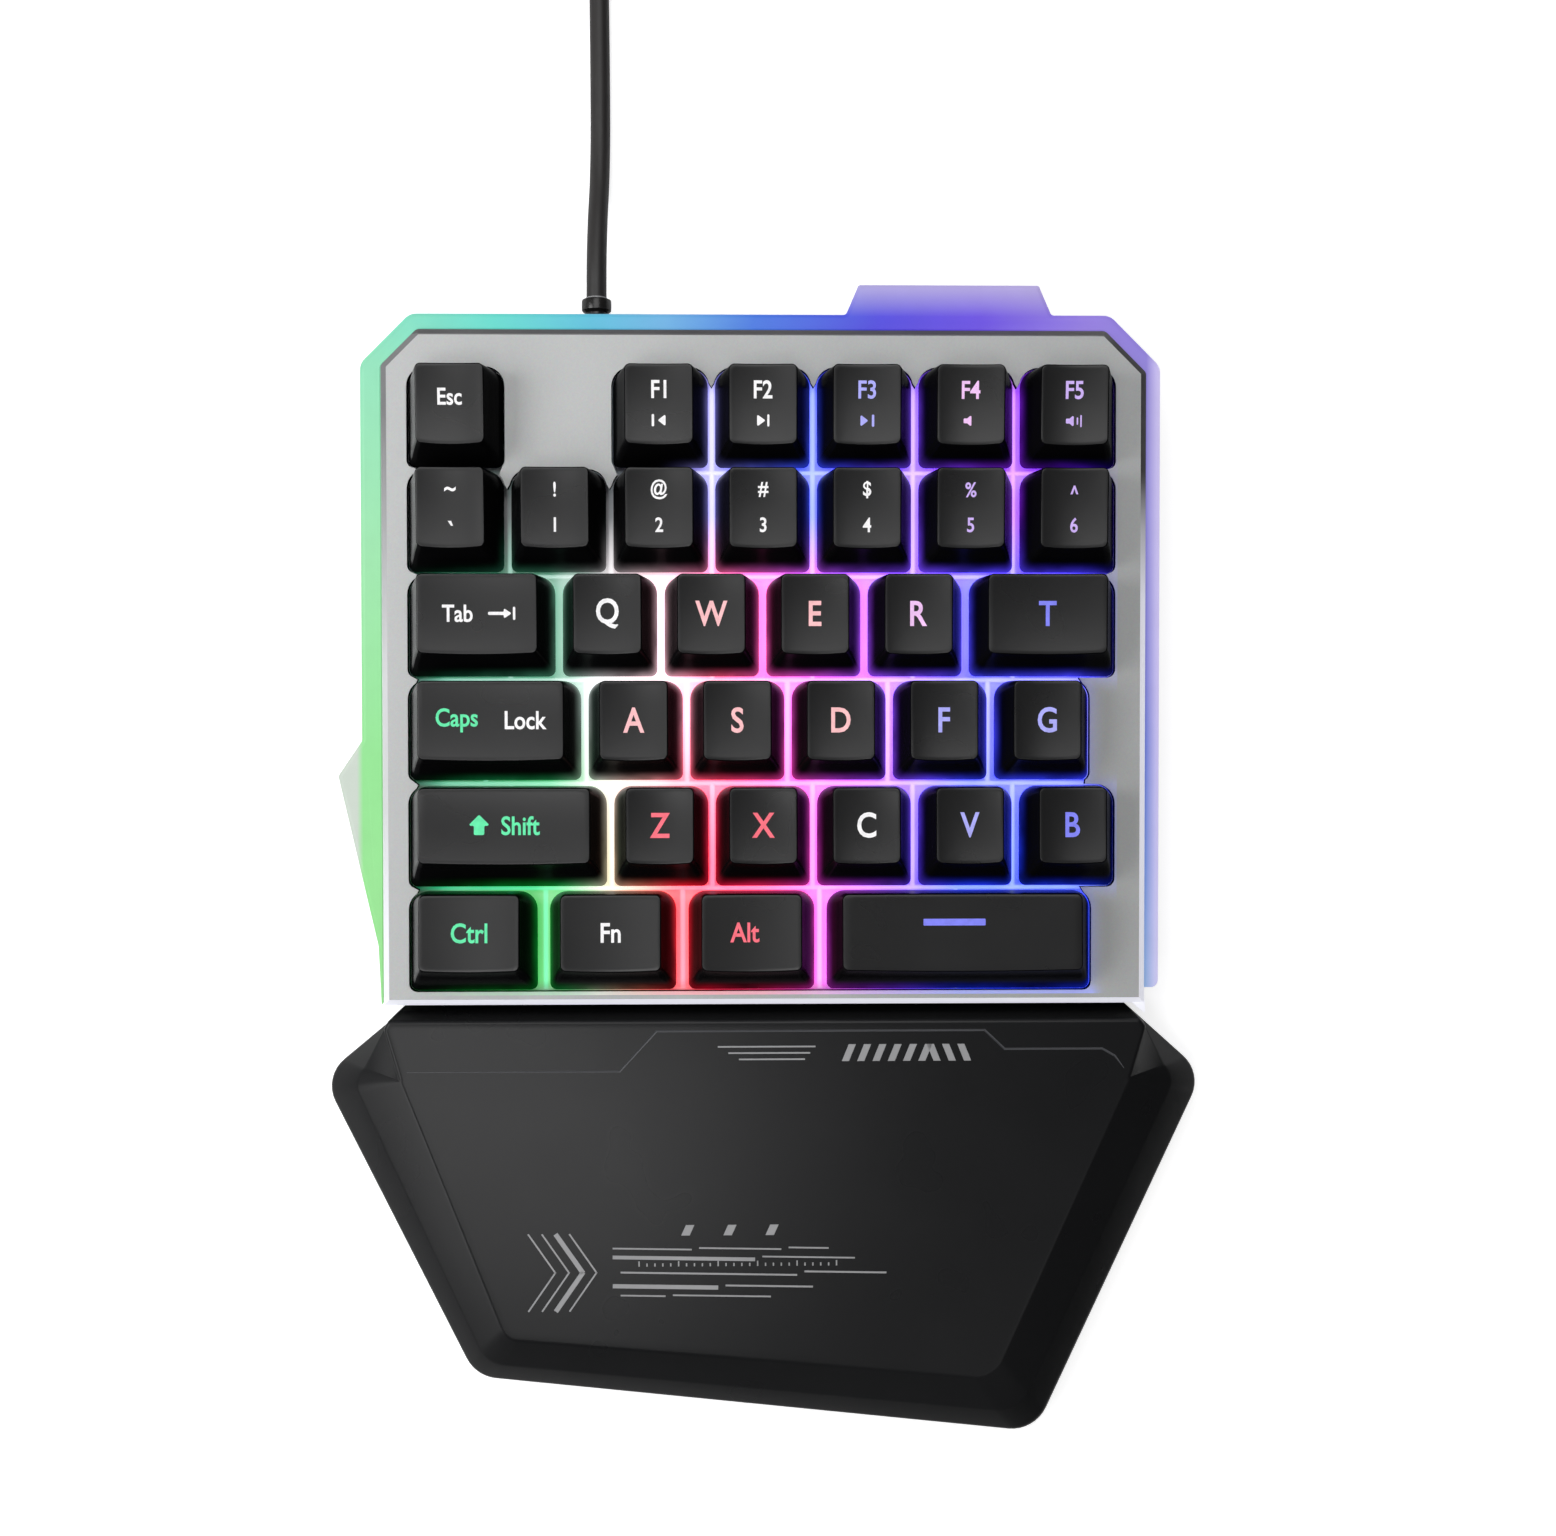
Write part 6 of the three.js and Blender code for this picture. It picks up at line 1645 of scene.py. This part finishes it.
def straight_row(tree, given, piece):
    """Copies of a piece in a straight row."""
    line = node(tree, "GeometryNodeMeshLine", {
        "Count": given["Count"], "Start Location": given["Start"], "Offset": given["Step"]}).outputs[0]
    return node(tree, "GeometryNodeInstanceOnPoints", {"Points": line, "Instance": piece}).outputs[0]


def row_tree():
    """Repeats a piece in a straight row."""
    tree, given = geometry_tree("Row", [
        ("Count", "Int"), ("Start", "Vector"), ("Step", "Vector"), ("Finish", "Material")])
    end_tree(tree, straight_row(tree, given, given["Geometry"]), [(given["Finish"], None)])
    return tree


def hole_tree():
    """Cuts a row of square holes through a tube."""
    tree, given = geometry_tree("Holes", [
        ("Count", "Int"), ("Start", "Vector"), ("Step", "Vector"), ("Size", "Vector"), ("Finish", "Material")])
    cutter = node(tree, "GeometryNodeMeshCube", {"Size": given["Size"]}).outputs[0]
    row = node(tree, "GeometryNodeRealizeInstances", {"Geometry": straight_row(tree, given, cutter)}).outputs[0]
    cut = node(tree, "GeometryNodeMeshBoolean", {
        "Mesh 1": given["Geometry"], "Mesh 2": row}, operation="DIFFERENCE", solver="EXACT").outputs[0]
    end_tree(tree, cut, [(given["Finish"], None)])
    return tree


def turned(profile):
    """A closed round piece along Z from (radius, height) pairs."""
    return Skin().loft([(z, circle(radius, 32)) for radius, z in profile])


class KEYPAD_OT_plug(PieceMaker, bpy.types.Operator):
    """Make the plug: a ribbed grip, a plated tube with two holes, a tongue and its four contacts"""

    bl_idname = "keypad.plug"
    bl_label = "Plug"

    def build(self, mm):
        route = LeadRoute(mm)
        route.line()
        # The plug's own Z runs along the desk's X
        place = Matrix.Translation(route.plug_start) @ Matrix(
            ((0, 0, 1, 0), (1, 0, 0, 0), (0, 1, 0, 0), (0, 0, 0, 1)))
        grip = Skin().loft([
            (z, rounded(box_outline(-half_width, half_width, -half_height, half_height, radius)))
            for z, half_width, half_height, radius in (
                (0, 2.1, 2.1, 2.05), (0.3, 2.35, 2.35, 2.3), (8.2, 2.75, 2.75, 2.7), (8.7, 3.1, 3.0, 2.6),
                (9.2, 5.6, 3.35, 2.3), (9.8, 6.9, 3.65, 2.1), (10.8, 7.6, 3.9, 2.0), (12, 7.85, 3.98, 2.0),
                (15, 7.65, 3.85, 2.0), (19.5, 7.35, 3.68, 1.9), (24, 7.65, 3.85, 2.0), (27, 7.85, 3.98, 2.0),
                (32, 7.85, 3.98, 2.0), (32.7, 7.6, 3.75, 1.8), (33, 7.1, 3.3, 1.4))])
        ribs = rib_tree()
        mesh = grown("plug_grip", ribs, {
            "Width": 5.0, "Height": 5.0, "Corner": 2.49, "Thickness": 0.35, "Count": 5, "First": 1.4,
            "Spacing": 1.5, "Growth": 0.03, "Finish": finishes["relief"]}, grip.mesh("plug_grip"))
        settle_grown("plug_grip", ribs, {
            "Width": 14.6, "Height": 7.05, "Corner": 1.8, "Thickness": 0.42, "Count": 6, "First": 16.4,
            "Spacing": 1.3, "Growth": 0.0, "Finish": finishes["relief"]}, mesh, place,
            slot="lead", nodes=("usb_plug_body",))

        start, long, mouth, wall = 33.1, 13.5, 9.0, 0.4
        tube = Skin().loft([
            (start + z, rounded(box_outline(-6 + grow, 6 - grow, -2.25 + grow, 2.25 - grow, 0.75 - grow)))
            for grow, z in (
                (0.2, 0), (0, 0.2), (0, long - 0.15), (0.12, long), (wall - 0.1, long), (wall, long - 0.15),
                (wall, long - mouth))])
        settle_grown("plug_tube", hole_tree(), {
            "Count": 2, "Start": (-2.9, 0, start + 9.3), "Step": (5.8, 0, 0), "Size": (2.4, 8, 2.2),
            "Finish": finishes["steel"]}, tube.mesh("plug_tube"), place, slot="steel", nodes=("usb_plug_shell",))
        skin = Skin()
        skin.block(box_outline(-5.4, 5.4, -1.8, -0.1, 0.15), start + long - mouth - 0.2, start + long - 0.7, 0.12)
        settle(skin.object("plug_tongue", [finishes["tongue"]], place), slot="rubber")
        skin = Skin()
        skin.block(box_outline(-0.5, 0.5, -0.12, 0.05, 0.05), 0, 6.6, 0.04)
        settle_grown("plug_contacts", row_tree(), {
            "Count": 4, "Start": (-3.5, 0, start + 5.6), "Step": (7 / 3, 0, 0), "Finish": finishes["gold"]},
            skin.mesh("plug_contacts"), place, slot="steel")


class KEYPAD_OT_strain_relief(PieceMaker, bpy.types.Operator):
    """Make the ribbed strain relief with its collar and pale ring"""

    bl_idname = "keypad.strain_relief"
    bl_label = "Strain Relief"

    def build(self, mm):
        route = LeadRoute(mm)
        turn = Matrix.Rotation(-math.pi / 2, 4, "X")
        place = Matrix.Translation((route.x, route.wall_y, route.exit_height)) @ turn
        sleeve = turned((
            (2.2, -3.5), (3.3, -3.4), (3.3, -2.4), (3.2, -2.3), (2.45, -2.3), (2.4, 0.4), (2.2, 1), (2.15, 6.4),
            (2.6, 6.7), (2.84, 6.95), (2.88, 7.3), (2.88, 8.7), (2.8, 9.0), (2.5, 9.15), (1.9, 9.2)))
        settle_grown("strain_relief_sleeve", rib_tree(), {
            "Width": 4.5, "Height": 4.5, "Corner": 2.24, "Thickness": 0.42, "Count": 4, "First": 1.5,
            "Spacing": 1.35, "Growth": 0.0, "Finish": finishes["relief"]}, sleeve.mesh("strain_relief_sleeve"), place,
            slot="lead", nodes=("strain_relief",))
        ring = turned(((1.9, 9.1), (2.15, 9.15), (2.15, 9.4), (2.0, 9.5), (1.7, 9.5)))
        settle(ring.object("strain_relief_ring", [finishes["printed"]], place), slot="lead")
        neck = turned(((1.95, 9.1), (1.95, 10.62), (1.7, 10.64)))
        settle(neck.object("strain_relief_neck", [finishes["lead"]], place), slot="lead")


def screw_skin(long):
    """A pan-headed screw that points up from its head's upper face, with a cross in the lower one."""
    skin = Skin()
    low, arm, half, pitch = -1.6, 1.5, 0.36, 0.7
    profile = [(1.0, long), (1.2, long - 0.4)]
    turns = int((long - 1) / pitch)
    for k in range(turns):
        z = long - 0.6 - pitch * k
        profile += [(1.25, z), (1.05, z - 0.35)]
    profile += [(1.25, 0.1), (1.3, 0), (2.5, 0), (2.6, -0.1), (2.6, -0.8), (2.5, -1.15), (2.25, -1.45),
                (1.95, low)]
    tip, face = skin.stack([[(*p, z) for p in circle(radius, 24)] for radius, z in profile])
    skin.fill(tip)
    cross = []
    for k in range(4):
        for x, y in ((half, half), (arm, half), (arm, -half)):
            cross.append(Matrix.Rotation(-k * math.pi / 2, 2) @ Vector((x, y)))
    mouth = skin.ring([(p.x, p.y, low) for p in cross])
    narrowed, deep = 0.75, 0.7
    floor = skin.ring([(narrowed * p.x, narrowed * p.y, low + deep) for p in cross])
    skin.fill(face, mouth)
    skin.strip(mouth, floor)
    skin.fill(floor)
    return skin


class KEYPAD_OT_fastenings(PieceMaker, bpy.types.Operator):
    """Make the screws and the rubber pads of the underside"""

    bl_idname = "keypad.fastenings"
    bl_label = "Screws and Pads"

    def build(self, mm):
        tree = row_tree()
        lean = Matrix.Rotation(SLOPE, 4, "X")
        for name, long, turn, start, step in (
                ("rear", 10.2, lean, (-48.1, 55.49, 5.66), 95.25),
                ("palm", 6.0, Matrix(), (-52.0, -50.64, 3.4), 104.0)):
            screw = screw_skin(long).mesh("screws")
            screw.transform(turn)
            settle_grown(f"screws_{name}", tree, {
                "Count": 2, "Start": start, "Step": (step, 0, 0), "Finish": finishes["steel"]}, screw, sharp=30,
                slot="steel", nodes=(f"screw_{name}_left", f"screw_{name}_right"))
        for name, start, step in (
                ("rear", (-54.0, 61.76, 0), (108.0, 0, 0)), ("front", (-41.9, -82.95, 0), (80.3, -11.5, 0))):
            skin = Skin()
            skin.block(box_outline(-8, 8, -4, 4, 2.5), 0, 2, 0.45, 5)
            settle_grown(f"pads_{name}", tree, {
                "Count": 2, "Start": start, "Step": step, "Finish": finishes["rubber"]}, skin.mesh("pads"),
                slot="rubber", nodes=(f"rubber_pad_{name}_left", f"rubber_pad_{name}_right"))


# Stage


class KEYPAD_OT_stage(PieceMaker, bpy.types.Operator):
    """Lay the pale floor and set the soft studio lights"""

    bl_idname = "keypad.stage"
    bl_label = "Stage"

    def build(self, mm):
        scene = bpy.context.scene
        scene.view_settings.view_transform = "Standard"
        material, tree, shader = new_finish("floor_paper")
        paths = node(tree, "ShaderNodeLightPath").outputs
        grain = speckle(tree, 0.02)
        set_shader(shader, Base_Color=mixed(tree, grain, (0.8, 0.8, 0.8), (0.82, 0.82, 0.82)), Roughness=0.8,
                   Specular_IOR_Level=0.1)
        white = node(tree, "ShaderNodeEmission", {"Color": (1, 1, 1, 1), "Strength": 0.68})
        lit = node(tree, "ShaderNodeAddShader", {0: shader.outputs[0], 1: white.outputs[0]})
        shown = node(tree, "ShaderNodeMixShader", {
            0: paths["Is Camera Ray"], 1: shader.outputs[0], 2: lit.outputs[0]})
        tree.links.new(shown.outputs[0], tree.nodes["Material Output"].inputs["Surface"])
        skin = Skin()
        skin.fill(skin.ring([(-4000, -4000, 0), (4000, -4000, 0), (4000, 4000, 0), (-4000, 4000, 0)]))
        floor = skin.object("floor", [material], Matrix.Translation((0, 0, -0.05)))

        world = bpy.data.worlds.new("studio")
        scene.world = world
        world.use_nodes = True
        tree = world.node_tree
        background = tree.nodes["Background"]
        background.inputs["Color"].default_value = (1, 1, 1, 1)
        paths = node(tree, "ShaderNodeLightPath").outputs
        ray = axes(tree, node(tree, "ShaderNodeTexCoord").outputs["Generated"])
        # The walls are pale on the left and dark on the right, the ceiling lies between
        walls = ranged(tree, ray["X"], -0.8, 0.75, 0.4, 0.05)
        ceiling = mixed(tree, ranged(tree, ray["Z"], 0.3, 0.8), walls, 0.05, "FLOAT")
        bright = mixed(tree, paths["Is Camera Ray"], ceiling, 1.0, "FLOAT")
        tree.links.new(bright, background.inputs["Strength"])

        lamps = (
            ("overhead_softbox", (-0.03, 0.3, 0.7), (-0.03, 0.3, 0), 0.5, 0.5, 1.8),
            ("left_softbox", (-0.42, 0.08, 0.42), (-0.12, 0.02, 0), 0.26, 0.26, 1.25),
            ("front_left_card", (-0.15, -0.23, 0.76), (-0.05, -0.06, 0), 0.3, 0.18, 0.75),
            ("left_flank_card", (-0.45, -0.24, 0.34), (-0.07, -0.06, 0), 0.3, 0.25, 0.75),
            ("front_right_strip", (0.26, -0.42, 0.6), (0, -0.02, 0), 0.3, 0.3, 0.2),
            ("rear_fill", (0.1, 0.8, 0.6), (0, 0.02, 0), 0.5, 0.5, 0.6),
        )
        for name, place, aim, width, depth, power in lamps:
            data = bpy.data.lights.new(name, "AREA")
            data.shape = "RECTANGLE"
            data.size, data.size_y = width, depth
            data.energy = power
            lamp = bpy.data.objects.new(name, data)
            lamp.location = place
            lamp.rotation_euler = (Vector(aim) - Vector(place)).to_track_quat("-Z", "Y").to_euler()
            scene.collection.objects.link(lamp)


# Sidebar and registration


class KEYPAD_PT_pieces(bpy.types.Panel):
    """Lists the keypad's pieces"""

    bl_idname = "KEYPAD_PT_pieces"
    bl_label = "Lit Gaming Keypad"
    bl_space_type = "VIEW_3D"
    bl_region_type = "UI"
    bl_category = "Keypad"

    def draw(self, context):
        for operator in PIECES:
            self.layout.operator(operator.bl_idname)
        for group in (context.scene.keypad_sizes, context.scene.keypad_colours):
            box = self.layout.box()
            for name in group.bl_rna.properties.keys():
                if name not in {"rna_type", "name"}:
                    box.prop(group, name)


PIECES = (
    KEYPAD_OT_camera, KEYPAD_OT_plug, KEYPAD_OT_lead, KEYPAD_OT_strain_relief, KEYPAD_OT_key_plate,
    KEYPAD_OT_light_strip, KEYPAD_OT_keycaps, KEYPAD_OT_legends, KEYPAD_OT_palm_rest, KEYPAD_OT_palm_print,
    KEYPAD_OT_fastenings, KEYPAD_OT_inner_finishes, KEYPAD_OT_stage)
CLASSES = (KeypadSizes, KeypadColours, *PIECES, KEYPAD_PT_pieces)


def register():
    for cls in CLASSES:
        bpy.utils.register_class(cls)
    bpy.types.Scene.keypad_sizes = PointerProperty(type=KeypadSizes)
    bpy.types.Scene.keypad_colours = PointerProperty(type=KeypadColours)


def unregister():
    del bpy.types.Scene.keypad_colours
    del bpy.types.Scene.keypad_sizes
    for cls in reversed(CLASSES):
        bpy.utils.unregister_class(cls)


def main():
    register()
    scene = bpy.context.scene
    make_finishes(Millimetres(bpy.context), scene.keypad_colours)
    for operator in PIECES:
        getattr(bpy.ops.keypad, operator.bl_idname.split(".")[1])()


if __name__ == "__main__":
    main()
